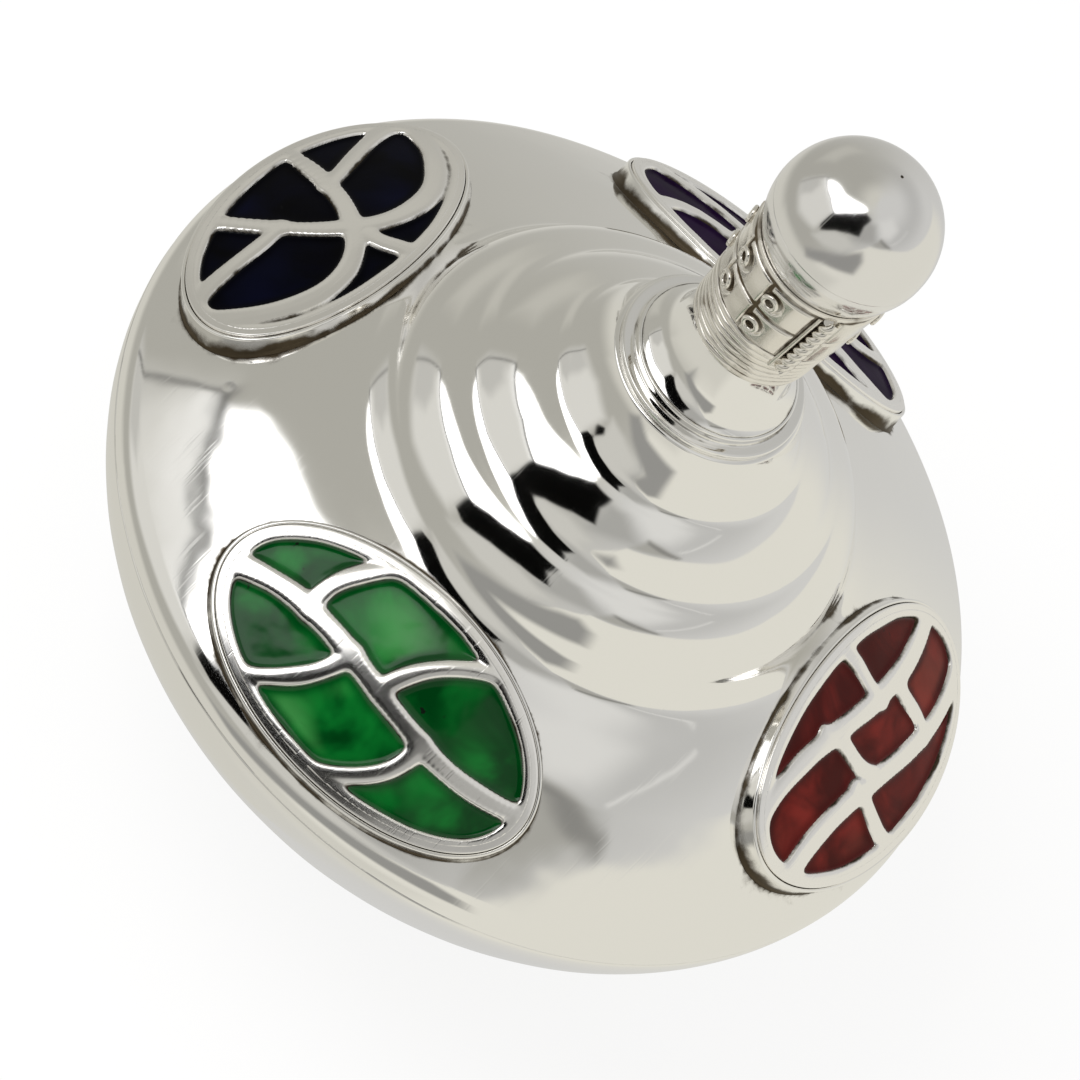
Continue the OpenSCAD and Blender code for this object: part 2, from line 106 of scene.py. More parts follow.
# %% [markdown]
# ## Turned pieces
# Most of the top comes off a lathe or is spun over a form, so its pieces are an outline
# turned round the axis. A lathe in Blender could be the Screw modifier, but here the ring of
# points is written out, because it lets each point move a little afterwards: real
# spun silver is never quite round, and a mirror shows it. The outline runs anticlockwise,
# which makes the faces point outwards.

# %% A mesh from points in millimetres
def silver_piece(name, points, faces, slot, *nodes, dark=None):
    """A piece with its place in its mesh; dark is the patina at each point, with painted shade on the plates
    and the band's rim.
    """
    mesh = bpy.data.meshes.new(name)
    mesh.from_pydata((np.asarray(points) * MM).tolist(), [], faces)
    if dark is not None:
        mesh.attributes.new("patina_and_shade", "FLOAT", "POINT").data.foreach_set("value", np.asarray(dark, float))
    bm = bmesh.new()
    bm.from_mesh(mesh)
    bmesh.ops.remove_doubles(bm, verts=bm.verts, dist=1e-7)
    bmesh.ops.dissolve_degenerate(bm, edges=bm.edges, dist=1e-7)
    bm.to_mesh(mesh)
    bm.free()
    return finished(name, mesh, slot, *nodes)


def finished(name, mesh, slot, *nodes):
    """An object for a mesh, riding on the top in place of its solids."""
    mesh.polygons.foreach_set("use_smooth", [True] * len(mesh.polygons))
    obj = bpy.data.objects.new(name, mesh)
    scene.collection.objects.link(obj)
    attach(obj, "root")
    if nodes:
        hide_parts(*nodes)
    print(name, "has", len(mesh.polygons), "faces")
    return obj


# %% An outline, softened and turned round the axis
def softened(corners, edge=0.06, step=0.12):
    """A closed outline with each corner rounded and the straight runs split into short steps."""
    corners = np.array(corners, float)
    out = []
    for before, here, after in zip(np.roll(corners, 1, 0), corners, np.roll(corners, -1, 0)):
        a, b = before - here, after - here
        la, lb = np.linalg.norm(a), np.linalg.norm(b)
        e = min(edge, la * 0.4, lb * 0.4)
        start, end = here + a / la * e, here + b / lb * e
        for t in np.linspace(0, 1, 5):
            out.append((1 - t) ** 2 * start + 2 * t * (1 - t) * here + t * t * end)
        reach = after + (here - after) / lb * min(edge, lb * 0.4) - end
        runs = max(1, math.ceil(np.linalg.norm(reach) / step))
        out.extend(end + reach * i / runs for i in range(1, runs))
    return np.array(out)


def wander(x, y, seed):
    """A slow, smooth unevenness between about -1 and 1."""
    rng = np.random.default_rng(seed)
    total = 0
    for _ in range(7):
        fx, fy = rng.normal(0, 1, 2)
        total = total + np.sin(fx * x + fy * y + rng.uniform(0, 6.28))
    return total / 4


def smooth(t):
    """A share between 0 and 1 that starts and ends without a jerk."""
    t = np.clip(t, 0, 1)
    return t * t * (3 - 2 * t)


def grid_faces(rows, columns, close_rows=True):
    """Faces of a grid whose columns close round the axis."""
    i, j = np.meshgrid(np.arange(rows if close_rows else rows - 1), np.arange(columns), indexing="ij")
    i2, j2 = (i + 1) % rows, (j + 1) % columns
    corners = [i * columns + j, i * columns + j2, i2 * columns + j2, i2 * columns + j]
    return np.stack(corners, -1).reshape(-1, 4).tolist()


def turned(name, outline, slot, *nodes, around=256, uneven=0.0, grain=0.35, seed=1, dark=None, worn=None):
    """Turns a closed outline; uneven moves the surface by that many millimetres."""
    outline = np.asarray(outline, float)
    turn = np.linspace(0, 2 * math.pi, around, endpoint=False)
    r = outline[:, 0][:, None] + 0 * turn
    z = outline[:, 1][:, None] + 0 * turn
    if worn:
        r = worn(r, z, turn)
    if uneven:
        x, y = r * np.cos(turn), r * np.sin(turn)
        r = np.where(r > 0.01, r + uneven * wander(x * grain, y * grain + z * grain * 2, seed), r)
    points = np.stack([r * np.cos(turn), r * np.sin(turn), z], -1).reshape(-1, 3)
    if callable(dark):
        shade = dark(points)
    else:
        shade = np.repeat(dark, around) if dark is not None else None
    return silver_piece(name, points, grid_faces(len(outline), around), slot, *nodes, dark=shade)


# %% [markdown]
# ## Where the plaques sit
# Each plaque has its own flat frame: x runs across the slope of the shoulder, y up it and z
# straight out. The same frame places the plate, its enamel and its bezel, and it tells the
# body where dirt gathers round a bezel.

# %% The plaques' frames
PLAQUE_AT = {"green": -91.5, "red": 1.7, "purple": 93, "black": 180.8}
TILT = math.radians(30)
DOME_R = 60
PLAQUE_R = SHOULDER_R[2]
PLAQUE_Z = float(np.interp(-PLAQUE_R, -SHOULDER[:, 0], SHOULDER[:, 1]))


def plaque_axes(name):
    a = math.radians(PLAQUE_AT[name])
    out, along = np.array([math.cos(a), math.sin(a), 0]), np.array([-math.sin(a), math.cos(a), 0])
    up = -math.cos(TILT) * out + np.array([0, 0, math.sin(TILT)])
    normal = math.sin(TILT) * out + np.array([0, 0, math.cos(TILT)])
    middle = PLAQUE_R * out + np.array([0, 0, PLAQUE_Z]) - PLATE_SLIDE * up + PLATE_PROUD * normal
    return middle, along, up, normal


def placed(name, local):
    """Points of a plaque's frame, put on the body; the plates are hammered to a dome."""
    middle, along, up, normal = plaque_axes(name)
    x, y, z = np.asarray(local, float).T[:, :, None]
    return middle + x * along + y * up + (z - (x * x + y * y) / (2 * DOME_R)) * normal


def oval_gap(x, y, a, b):
    """About how far a point lies outside an oval; negative inside."""
    f = np.sqrt((x / a) ** 2 + (y / b) ** 2) + 1e-9
    return f * (f - 1) / (np.sqrt((x / a ** 2) ** 2 + (y / b ** 2) ** 2) + 1e-9)


# Where a bezel is dirtiest: the turn round its oval, the spread in degrees and the strength.
STAINS = {"green": (250, 40, 0.1), "red": (190, 40, 0.3), "purple": (90, 110, 0.45), "black": (40, 45, 0.3)}
BEZEL_OUT = 0.35
DIRT_LINE_W = 0.22
HALO_W, HALO_SHADE = 1.1, 0.36


def stain(name, x, y):
    at, spread, strength = STAINS[name]
    off = (np.degrees(np.arctan2(y / PLATE_B, x / PLATE_A)) - at + 180) % 360 - 180
    return strength * np.exp(-(off / spread) ** 2)


def near_bezels(points):
    """Patina on the body: strongest where a bezel meets it."""
    points = np.asarray(points, float)
    shade = np.zeros(len(points))
    for name in PLAQUE_AT:
        middle, along, up, normal = plaque_axes(name)
        d = points - middle
        x, y = d @ along, d @ up
        gap = np.maximum(oval_gap(x, y, PLATE_A + BEZEL_OUT, PLATE_B + BEZEL_OUT), 0)
        halo = (HALO_SHADE + stain(name, x, y)) * np.exp(-gap / HALO_W)
        close = np.where(d @ normal > -4, np.maximum(np.exp(-gap / DIRT_LINE_W), halo), 0)
        shade = np.maximum(shade, close)
    return shade


print("plaque centre:", round(PLAQUE_R, 2), round(PLAQUE_Z, 2))

# %% [markdown]
# ## The body
# The lower half is a bowl, half of a superellipse, and the upper half is the shoulder with
# its concentric ripples. Both are closed shells with a wall of their own. They get the finest
# rings of all, because the long soft reflections on them show every facet.

# %% Bowl and shoulder
def bowl_line(r, h, count):
    a = np.linspace(0, math.pi / 2, count)
    return np.stack([r * np.cos(a) ** (2 / BOWL_FULLNESS), SEAM_Z - h * np.sin(a) ** (2 / BOWL_FULLNESS)], 1)


SEAM_BEVEL = 0.02
outer = bowl_line(BODY_R, BOWL_H, 90)[::-1]
outer[-1] = (BODY_R - SEAM_BEVEL, SEAM_Z)
inner = bowl_line(BODY_R - WALL, BOWL_H - WALL, 16)
bowl = turned("bowl", np.concatenate([outer, inner]), "silver", "lower_bowl",
              around=320, uneven=0.02, seed=3, dark=near_bezels)

side_r, side_z, side_slope = SHOULDER.T
inset = np.stack([side_r - WALL * np.sin(side_slope), side_z - WALL * np.cos(side_slope)], 1)[::-12]
mouth = [(SHOULDER_R[-1] - 0.3, CONE_TOP_Z), (SHOULDER_R[-1] - WALL, CONE_TOP_Z)]
seam_outside, seam_inside = [(BODY_R - SEAM_BEVEL, SEAM_Z)], [(BODY_R - WALL, SEAM_Z)]
shoulder_outline = np.concatenate([seam_outside, SHOULDER[1:, :2], mouth, inset, seam_inside])
shoulder = turned("shoulder", shoulder_outline, "silver", "shoulder_shell",
                  around=448, uneven=0.022, seed=5, dark=near_bezels)

# %% [markdown]
# ## Tip, collar, neck and ball
# The tip is a plain turned point under a small washer. Above the shoulder come a collar with
# two steps and a neck like a trumpet. The ball is two half shells that meet at a fine seam.
# On all of them the corners are softened, because polishing rounds every edge and a sharp
# edge has no highlight.

# %% Tip and its washer
BOWL_Z = SEAM_Z - BOWL_H
TIP_END_R, TIP_R = 0.5, 1.9
SPIGOT_R, SPIGOT_H = 1.1, 1.8
tip_outline = softened([(0, 0), (TIP_END_R, 0), (TIP_R, BOWL_Z), (SPIGOT_R, BOWL_Z),
                        (SPIGOT_R, BOWL_Z + SPIGOT_H), (0, BOWL_Z + SPIGOT_H)], 0.12)
tip = turned("tip", tip_outline, "silver", "spinning_tip", around=96)
washer_outline = softened([(1.75, BOWL_Z - 0.9), (2.65, BOWL_Z - 0.9), (3.12, BOWL_Z + 0.2),
                           (1.93, BOWL_Z + 0.05)], 0.1)
tip_washer = turned("tip_washer", washer_outline, "silver", "tip_collar", around=96)

# %% Collar and neck
ROD_BORE_R = 1.53
COLLAR_SPIGOT_R, COLLAR_SPIGOT_H = 5.26, 1
CORNER_DIRT = 0.8
collar_outline = softened([
    (ROD_BORE_R, CONE_TOP_Z - COLLAR_SPIGOT_H), (COLLAR_SPIGOT_R, CONE_TOP_Z - COLLAR_SPIGOT_H),
    (COLLAR_SPIGOT_R, CONE_TOP_Z), (COLLAR_LOW_R, CONE_TOP_Z),
    (COLLAR_LOW_R, CONE_TOP_Z + COLLAR_LOW_H), (COLLAR_HIGH_R, CONE_TOP_Z + COLLAR_LOW_H),
    (COLLAR_HIGH_R, COLLAR_TOP_Z), (ROD_BORE_R, COLLAR_TOP_Z)], 0.13, 0.1)


def dirt_in_corner(outline, r, z):
    """Patina that polishing leaves in an inner corner at this radius and height."""
    return CORNER_DIRT * np.exp(-((outline[:, 0] - r) ** 2 + (outline[:, 1] - z) ** 2) / 0.02)


groove = dirt_in_corner(collar_outline, COLLAR_HIGH_R, CONE_TOP_Z + COLLAR_LOW_H)
foot = dirt_in_corner(collar_outline, COLLAR_LOW_R, CONE_TOP_Z)
collar = turned("collar", collar_outline, "silver", "stem_collar",
                around=256, uneven=0.008, seed=8, dark=np.maximum(groove, foot))

neck_bore = [(ROD_BORE_R, z) for z in (BAND_Z, (BAND_Z + COLLAR_TOP_Z) / 2, COLLAR_TOP_Z)]
above_collar, below_band = NECK[:, 1] - COLLAR_TOP_Z, BAND_Z - NECK[:, 1]
neck_shade = CORNER_DIRT * np.maximum(np.exp(-above_collar / 0.12), np.exp(-below_band / 0.15))
neck = turned("neck", np.concatenate([NECK[:, :2], neck_bore]), "silver", "stem_neck",
              around=256, uneven=0.012, seed=9, dark=np.concatenate([neck_shade, [0, 0, 0]]))

# %% Two halves of the ball
SHELL_T = 0.8


def half_shell(top):
    """Outline of half a hollow ball, with a hair of a bevel at the seam."""
    a = np.radians(np.concatenate([[0.12], np.linspace(1, 90, 80)]))
    b = np.radians(np.linspace(90, 0, 14))
    outer = BALL_R * np.stack([np.cos(a), np.sin(a)], 1)
    inner = (BALL_R - SHELL_T) * np.stack([np.cos(b), np.sin(b)], 1)
    line = np.concatenate([[(BALL_R - 0.005, 0.0)], outer, inner])
    if not top:
        line = line[::-1] * (1, -1)
    return line + (0, BALL_Z)


def pole_pit(points):
    """A small dark spot near the top of the ball."""
    away = np.hypot(points[:, 0] + 0.04, points[:, 1] - 0.35)
    return 1.3 * np.exp(-(away / 0.13) ** 2) * (points[:, 2] > BALL_Z)


ball_make = {"around": 256, "uneven": 0.006, "grain": 0.9, "seed": 11}
ball_top = turned("ball_top", half_shell(True), "silver", "knob_upper_half", dark=pole_pit, **ball_make)
ball_bottom = turned("ball_bottom", half_shell(False), "silver", "knob_lower_half", **ball_make)

# %% [markdown]
# ## The ornamented band
# The band is a flared sleeve. Fine reeds wrap its foot like wound wire, two rows of raised
# pads go round above them, most pads hold a small ring stud, and two strips of twisted wire
# run up it. The reeds are one turned outline. The pads of half the band, one stud and one
# strip are made, and a node tree repeats them round the band.

# %% Sleeve, reeds and rim
def band_r(h):
    return BAND_FOOT_R + (BAND_TOP_R - BAND_FOOT_R) * h / BAND_H


SLEEVE_STEP, SLEEVE_SHADE = 0.08, 0.78
sleeve_side = [(band_r(h) + SLEEVE_STEP * (h > REED_H), BAND_Z + h) for h in np.linspace(0, BAND_H, 60)]
sleeve_bore = [(band_r(h) - 0.5, BAND_Z + h) for h in (BAND_H - 0.4, BAND_H / 2, 0)]
sleeve_outline = sleeve_side + [(band_r(BAND_H) - 0.2, BAND_TOP_Z)] + sleeve_bore
sleeve_shade = np.where(np.arange(len(sleeve_outline)) < len(sleeve_side), SLEEVE_SHADE, 0)
sleeve = turned("sleeve", sleeve_outline, "band_silver", "band_sleeve",
                around=192, uneven=0.01, seed=13, dark=sleeve_shade)

REED_STEP = REED_H / REED_COUNT
REED_DEPTH = 0.18


def worn_reeds(r, z, turn):
    """Reeds worn down here and there, and filed flat beside each rope strip."""
    deg = np.degrees(turn) % 180
    wear = 0.85 * np.exp(-((deg - 106) / 8) ** 2)
    wear = wear + 0.3 * (1 + wander(np.cos(turn) * 4 + z, np.sin(turn) * 4 - z, 14))
    wear = np.clip(wear, 0, 0.88)
    flat = band_r(z - BAND_Z) + 0.11
    return np.where(r > band_r(z - BAND_Z), flat * wear + r * (1 - wear), r)


reed_line, reed_shade = [(band_r(0) - 0.1, BAND_Z)], [0.0]
for i in range(REED_COUNT):
    for a in np.radians(np.arange(12, 169, 13)):
        h = (i + 0.5) * REED_STEP
        bulge = 0.02 + REED_DEPTH * math.sin(a)
        reed_line.append((band_r(h) + bulge, BAND_Z + h - REED_STEP / 2 * math.cos(a)))
        reed_shade.append(0.18 + 0.8 * (1 - math.sin(a)))
reed_line.append((band_r(REED_H) - 0.1, BAND_Z + REED_H))
reed_shade.append(0.6)
reeds = turned("reeds", reed_line, "band_silver", "reeded_ring",
               around=288, uneven=0.03, grain=1.6, seed=15, dark=np.array(reed_shade), worn=worn_reeds)

RIM_BORE_R, RIM_R = 4.09, BAND_TOP_R + 0.15
rim_outline = softened([(RIM_BORE_R, BAND_TOP_Z), (RIM_R, BAND_TOP_Z), (RIM_R, RIM_TOP_Z),
                        (BAND_TOP_R + 0.02, RIM_TOP_Z)], 0.08, 0.08)
# Painted shade: the rim under the ball is darkened all round, most at its foot.
rim_shade = 0.45 + 0.4 * np.exp(-((rim_outline[:, 1] - BAND_TOP_Z) / 0.1) ** 2)
rim = turned("rim", rim_outline, "band_silver", "band_rim",
             around=192, uneven=0.015, grain=1.2, seed=17, dark=rim_shade)

# %% [markdown]
# A sheet made from heights has an open back. It is closed with a flat copy below it and a
# wall along its border, so the piece is a solid body as the real one is.

# %% Closing a sheet into a solid
def closed_below(points, faces, floor):
    """Adds a back at local height floor and the walls along the open border."""
    points, faces = np.asarray(points, float), np.asarray(faces)
    back = points.copy()
    back[:, 2] = floor
    n = len(points)
    a, b = faces.ravel(), np.roll(faces, -1, 1).ravel()
    edges = set(zip(a.tolist(), b.tolist()))
    border = [(p, q) for p, q in edges if (q, p) not in edges]
    walls = [[p + n, q + n, q, p] for p, q in border]
    return np.concatenate([points, back]), faces.tolist() + (faces[:, ::-1] + n).tolist() + walls


def height_sheet(x, y, z, keep):
    """Faces and points of a height field, without the points that no face uses."""
    rows, columns = x.shape
    i, j = np.meshgrid(np.arange(rows - 1), np.arange(columns - 1), indexing="ij")
    i, j = i.ravel(), j.ravel()
    quad = np.stack([i * columns + j, i * columns + j + 1,
                     (i + 1) * columns + j + 1, (i + 1) * columns + j], 1)
    quad = quad[keep.ravel()[quad].any(1)]
    used, quad = np.unique(quad, return_inverse=True)
    return np.stack([x.ravel(), y.ravel(), z.ravel()], 1)[used], quad.reshape(-1, 4), used


# %% Pads of half the band, hollowed round their studs
ROPE_ZONE, PAD_PARTING, PADS_PER_HALF, PAD_ROWS = 22, 1.5, 4, 2
STUD_ANGLE = 6.5
PAD_PITCH = (180 - ROPE_ZONE) / PADS_PER_HALF
PAD_ANGLE = PAD_PITCH - PAD_PARTING
PAD_H = (BAND_H - REED_H - 3 * PAD_GAP) / 2
LEAN = math.atan((BAND_TOP_R - BAND_FOOT_R) / BAND_H)
ROW_H = REED_H + PAD_GAP


def on_sleeve(u, v, w, h0=0.0):
    """u is an angle, v a height above the sleeve's foot and w stands out from the sleeve."""
    r = band_r(v + h0) + w * math.cos(LEAN)
    return np.stack([r * np.cos(u), r * np.sin(u), BAND_Z + v + h0 - w * math.sin(LEAN)], -1)


PAD_MID_R = band_r(ROW_H + PAD_H / 2)
PAD_FOOT, PAD_RISE, PAD_SLOPE_W = 0.06, 0.16, 0.14
HOLLOW_R, HOLLOW_DEPTH = 0.82, 0.7


def make_pad(number, row):
    """Points, faces and patina of one pad; the first after a rope strip has no stud."""
    across, v = np.meshgrid(np.linspace(0, math.radians(PAD_ANGLE) * PAD_MID_R, 52),
                            np.linspace(0, PAD_H, 40))
    seed = number + row * PADS_PER_HALF
    edge = np.minimum.reduce([across, across.max() - across, v, PAD_H - v])
    edge = edge + 0.012 * wander(across * 3, v * 3, 60 + seed)
    to_stud = np.hypot(across - math.radians(STUD_ANGLE) * PAD_MID_R, v - PAD_H / 2)
    if number == 0:
        to_stud = np.full_like(to_stud, PAD_MID_R)
    w = PAD_FOOT + PAD_RISE * smooth(edge / PAD_SLOPE_W)
    w = w * (1 - HOLLOW_DEPTH * smooth((HOLLOW_R - to_stud) / 0.16))
    w = w + 0.02 * wander(across * 2, v * 2, 21 + seed)
    sheet, faces, used = height_sheet(across, v, w, np.ones_like(w, bool))
    shade = np.maximum(0.95 - edge / PAD_SLOPE_W, 1.2 - to_stud / 0.85)
    shade = np.clip(shade, 0.22, 1).ravel()[used]
    solid, faces = closed_below(sheet, faces, -0.03)
    turn = solid[:, 0] / PAD_MID_R + number * math.radians(PAD_PITCH)
    points = on_sleeve(turn, solid[:, 1], solid[:, 2], ROW_H + row * (PAD_H + PAD_GAP))
    return points, faces, np.concatenate([shade, shade])


pad_points, pad_faces, pad_shade = [], [], []
for row in range(PAD_ROWS):
    for number in range(PADS_PER_HALF):
        points, faces, shade = make_pad(number, row)
        pad_faces += (np.array(faces) + sum(map(len, pad_points))).tolist()
        pad_points.append(points)
        pad_shade.append(shade)
pad = silver_piece("pads", np.concatenate(pad_points), pad_faces, "band_silver", "band_pads",
                   dark=np.concatenate(pad_shade))

# %% One stud: a rolled ring on a short tube
def ring_outline(r, hole, h):
    """A tube wall with a fat rolled lip, as an outline round the stud's own axis."""
    a = np.radians(np.linspace(-60, 240, 15))
    lip = (r - hole) / 2
    roll = [((r + hole) / 2 + lip * math.cos(t), h - lip * 0.9 + lip * 0.9 * math.sin(t)) for t in a]
    return [(hole + 0.02, 0.02), (hole + 0.02, 0), (r - 0.03, 0), (r - 0.03, 0.05)] + roll


STUD_R, STUD_HOLE_R, STUD_H, STUD_SIDES = 0.58, 0.27, 0.44, 32
outline = np.array(ring_outline(STUD_R, STUD_HOLE_R, STUD_H))
turn = np.linspace(0, 2 * math.pi, STUD_SIDES, endpoint=False)
r, out = outline.T[:, :, None] * np.ones(STUD_SIDES)
lean_side = np.array([0, 1.0, 0])
lean_up = np.array([math.sin(LEAN), 0, math.cos(LEAN)])
lean_out = np.array([math.cos(LEAN), 0, -math.sin(LEAN)])
stud_h = ROW_H + PAD_H / 2
stud_foot = np.array([band_r(stud_h), 0, BAND_Z + stud_h])
stud_points = stud_foot + (r * np.cos(turn))[..., None] * lean_side
stud_points = stud_points + (r * np.sin(turn))[..., None] * lean_up + out[..., None] * lean_out
c, s = math.cos(math.radians(STUD_ANGLE)), math.sin(math.radians(STUD_ANGLE))
spin = np.array([[c, -s, 0], [s, c, 0], [0, 0, 1]])
stud_shade = np.repeat(np.clip(1 - outline[:, 1] / 0.3, 0, 1), STUD_SIDES)
stud = silver_piece("studs", stud_points.reshape(-1, 3) @ spin.T, grid_faces(len(outline), STUD_SIDES),
                    "band_silver", "ring_studs", dark=stud_shade)

# %% [markdown]
# ## Twisted wire
# The strip is two strands of wire twisted round each other between two plain side wires. A
# node tree winds any number of strands: it copies a straight line, bends each copy into a
# helix by its place along the line, and sweeps a round profile along it.

# %% Small helpers for node trees
def node(tree, kind, inputs=(), **settings):
    made = tree.nodes.new(kind)
    for key, value in settings.items():
        setattr(made, key, value)
    for key, value in dict(inputs).items():
        if isinstance(value, bpy.types.NodeSocket):
            tree.links.new(value, made.inputs[key])
        else:
            made.inputs[key].default_value = value
    return made


def calc(tree, operation, a, b=0.0):
    return node(tree, "ShaderNodeMath", {0: a, 1: b}, operation=operation).outputs[0]


def times(tree, a, b):
    return calc(tree, "MULTIPLY", a, b)


def plus(tree, a, b):
    return calc(tree, "ADD", a, b)


def less(tree, a, b):
    return calc(tree, "SUBTRACT", a, b)


def geometry_tree(name, inputs):
    """A tree with named inputs, its group input and its group output."""
    tree = bpy.data.node_groups.new(name, "GeometryNodeTree")
    tree.interface.new_socket("Geometry", in_out="INPUT", socket_type="NodeSocketGeometry")
    for label, kind, value in inputs:
        socket = tree.interface.new_socket(label, in_out="INPUT", socket_type=kind)
        if value is not None:
            socket.default_value = value
    tree.interface.new_socket("Geometry", in_out="OUTPUT", socket_type="NodeSocketGeometry")
    return tree, tree.nodes.new("NodeGroupInput").outputs, tree.nodes.new("NodeGroupOutput").inputs


def grown(obj, tree, **values):
    """Runs a tree on an object with these inputs and keeps the result as its plain mesh."""
    modifier = obj.modifiers.new(tree.name, "NODES")
    modifier.node_group = tree
    for item in tree.interface.items_tree:
        if item.item_type == "SOCKET" and item.in_out == "INPUT" and item.name.replace(" ", "_") in values:
            modifier[item.identifier] = values[item.name.replace(" ", "_")]
    bpy.context.view_layer.update()
    result = bpy.data.meshes.new_from_object(obj.evaluated_get(bpy.context.evaluated_depsgraph_get()))
    obj.modifiers.remove(modifier)
    obj.data = result
    result.polygons.foreach_set("use_smooth", [True] * len(result.polygons))
    print(obj.name, "grown to", len(result.polygons), "faces")
    return obj


# %% The tree that twists strands
twist, given, result = geometry_tree("twisted strands", [
    ("Length", "NodeSocketFloat", 0.005), ("Wire Radius", "NodeSocketFloat", 0.0002),
    ("Twist Radius", "NodeSocketFloat", 0.0002), ("Turns", "NodeSocketFloat", 4.0),
    ("Strands", "NodeSocketInt", 2), ("Material", "NodeSocketMaterial", None)])
line_end = node(twist, "ShaderNodeCombineXYZ", {"Z": given["Length"]}).outputs[0]
line = node(twist, "GeometryNodeCurvePrimitiveLine", {"End": line_end}).outputs["Curve"]
stations = node(twist, "GeometryNodeResampleCurve", {"Curve": line, "Count": 110}).outputs["Curve"]
copies = node(twist, "GeometryNodeDuplicateElements", {
    "Geometry": stations, "Amount": given["Strands"]}, domain="SPLINE")
along = node(twist, "GeometryNodeSplineParameter").outputs["Factor"]
phase = calc(twist, "DIVIDE", copies.outputs["Duplicate Index"], given["Strands"])
angle = times(twist, plus(twist, times(twist, along, given["Turns"]), phase), 2 * math.pi)
offset = node(twist, "ShaderNodeCombineXYZ", {
    "X": times(twist, calc(twist, "COSINE", angle), given["Twist Radius"]),
    "Y": times(twist, calc(twist, "SINE", angle), given["Twist Radius"])}).outputs[0]
bent = node(twist, "GeometryNodeSetPosition", {
    "Geometry": copies.outputs["Geometry"], "Offset": offset}).outputs[0]
profile = node(twist, "GeometryNodeCurvePrimitiveCircle", {
    "Resolution": 12, "Radius": given["Wire Radius"]}).outputs["Curve"]
swept = node(twist, "GeometryNodeCurveToMesh", {
    "Curve": bent, "Profile Curve": profile, "Fill Caps": True}).outputs[0]
solid_wire = node(twist, "GeometryNodeRealizeInstances", {0: swept}).outputs[0]
coated = node(twist, "GeometryNodeSetMaterial", {
    "Geometry": solid_wire, "Material": given["Material"]}).outputs[0]
twist.links.new(coated, result["Geometry"])
print("nodes in the twisting tree:", len(twist.nodes))

# %% [markdown]
# ## Repeating round the band
# Pads, studs and strips all repeat alike: one or more copies in each half of the band, and
# one or two rows. The tree numbers its copies and works out each one's turn and row.

# %% The tree that repeats a piece round the stem
repeat, given, result = geometry_tree("repeat round the stem", [
    ("First Angle", "NodeSocketFloat", 0.0), ("Pitch Angle", "NodeSocketFloat", 0.0),
    ("Per Half", "NodeSocketInt", 1), ("Rows", "NodeSocketInt", 1), ("Row Out", "NodeSocketFloat", 0.0),
    ("Row Up", "NodeSocketFloat", 0.0), ("Material", "NodeSocketMaterial", None)])
single = node(repeat, "GeometryNodeGeometryToInstance", {0: given["Geometry"]}).outputs[0]
per_row = times(repeat, given["Per Half"], 2.0)
copies = node(repeat, "GeometryNodeDuplicateElements", {
    "Geometry": single, "Amount": times(repeat, per_row, given["Rows"])}, domain="INSTANCE")


def whole_shares(number, size):
    """How often size fits into a whole number, safe against rounding."""
    return calc(repeat, "FLOOR", calc(repeat, "DIVIDE", plus(repeat, number, 0.01), size))


number = copies.outputs["Duplicate Index"]
row = whole_shares(number, per_row)
in_row = less(repeat, number, times(repeat, row, per_row))
half = whole_shares(in_row, given["Per Half"])
in_half = less(repeat, in_row, times(repeat, half, given["Per Half"]))
turn_in_half = plus(repeat, given["First Angle"], times(repeat, in_half, given["Pitch Angle"]))
turn_by = plus(repeat, turn_in_half, times(repeat, half, math.pi))
shift = node(repeat, "ShaderNodeCombineXYZ", {
    "X": times(repeat, row, given["Row Out"]), "Z": times(repeat, row, given["Row Up"])}).outputs[0]
lifted = node(repeat, "GeometryNodeTranslateInstances", {
    "Instances": copies.outputs["Geometry"], "Translation": shift, "Local Space": False}).outputs[0]
rotation = node(repeat, "ShaderNodeCombineXYZ", {"Z": turn_by}).outputs[0]
spun = node(repeat, "GeometryNodeRotateInstances", {
    "Instances": lifted, "Rotation": rotation, "Local Space": False}).outputs[0]
real = node(repeat, "GeometryNodeRealizeInstances", {0: spun}).outputs[0]
coated = node(repeat, "GeometryNodeSetMaterial", {
    "Geometry": real, "Material": given["Material"]}).outputs[0]
repeat.links.new(coated, result["Geometry"])
print("nodes in the repeating tree:", len(repeat.nodes))

# %% [markdown]
# ## Finishes that the materials share
# Two effects come back in every silver finish. One is what hand polishing leaves: a slow
# waviness, hair scratches and tiny dents. The other is patina, the brown-black film that
# polishing can't reach, ragged at its edges. Each is one node group with its own inputs.

# %% What hand polishing leaves
def shader_group(name, inputs, outputs):
    tree = bpy.data.node_groups.new(name, "ShaderNodeTree")
    for label, kind, value in inputs:
        tree.interface.new_socket(label, in_out="INPUT", socket_type=kind).default_value = value
    for label, kind in outputs:
        tree.interface.new_socket(label, in_out="OUTPUT", socket_type=kind)
    return tree, tree.nodes.new("NodeGroupInput").outputs, tree.nodes.new("NodeGroupOutput").inputs


def between(tree, value, low, high, to_low=0.0, to_high=1.0):
    """A value mapped softly from low and high to two others."""
    return node(tree, "ShaderNodeMapRange", {0: value, 1: low, 2: high, 3: to_low, 4: to_high},
                interpolation_type="SMOOTHSTEP").outputs[0]


def noise(tree, place, scale, detail, **more):
    inputs = {"Vector": place, "Scale": scale, "Detail": detail, **more}
    return node(tree, "ShaderNodeTexNoise", inputs).outputs["Fac"]


def mixed(tree, share, first, second):
    inputs = {"Factor": share, "A": first, "B": second}
    return node(tree, "ShaderNodeMix", inputs, data_type="RGBA").outputs["Result"]


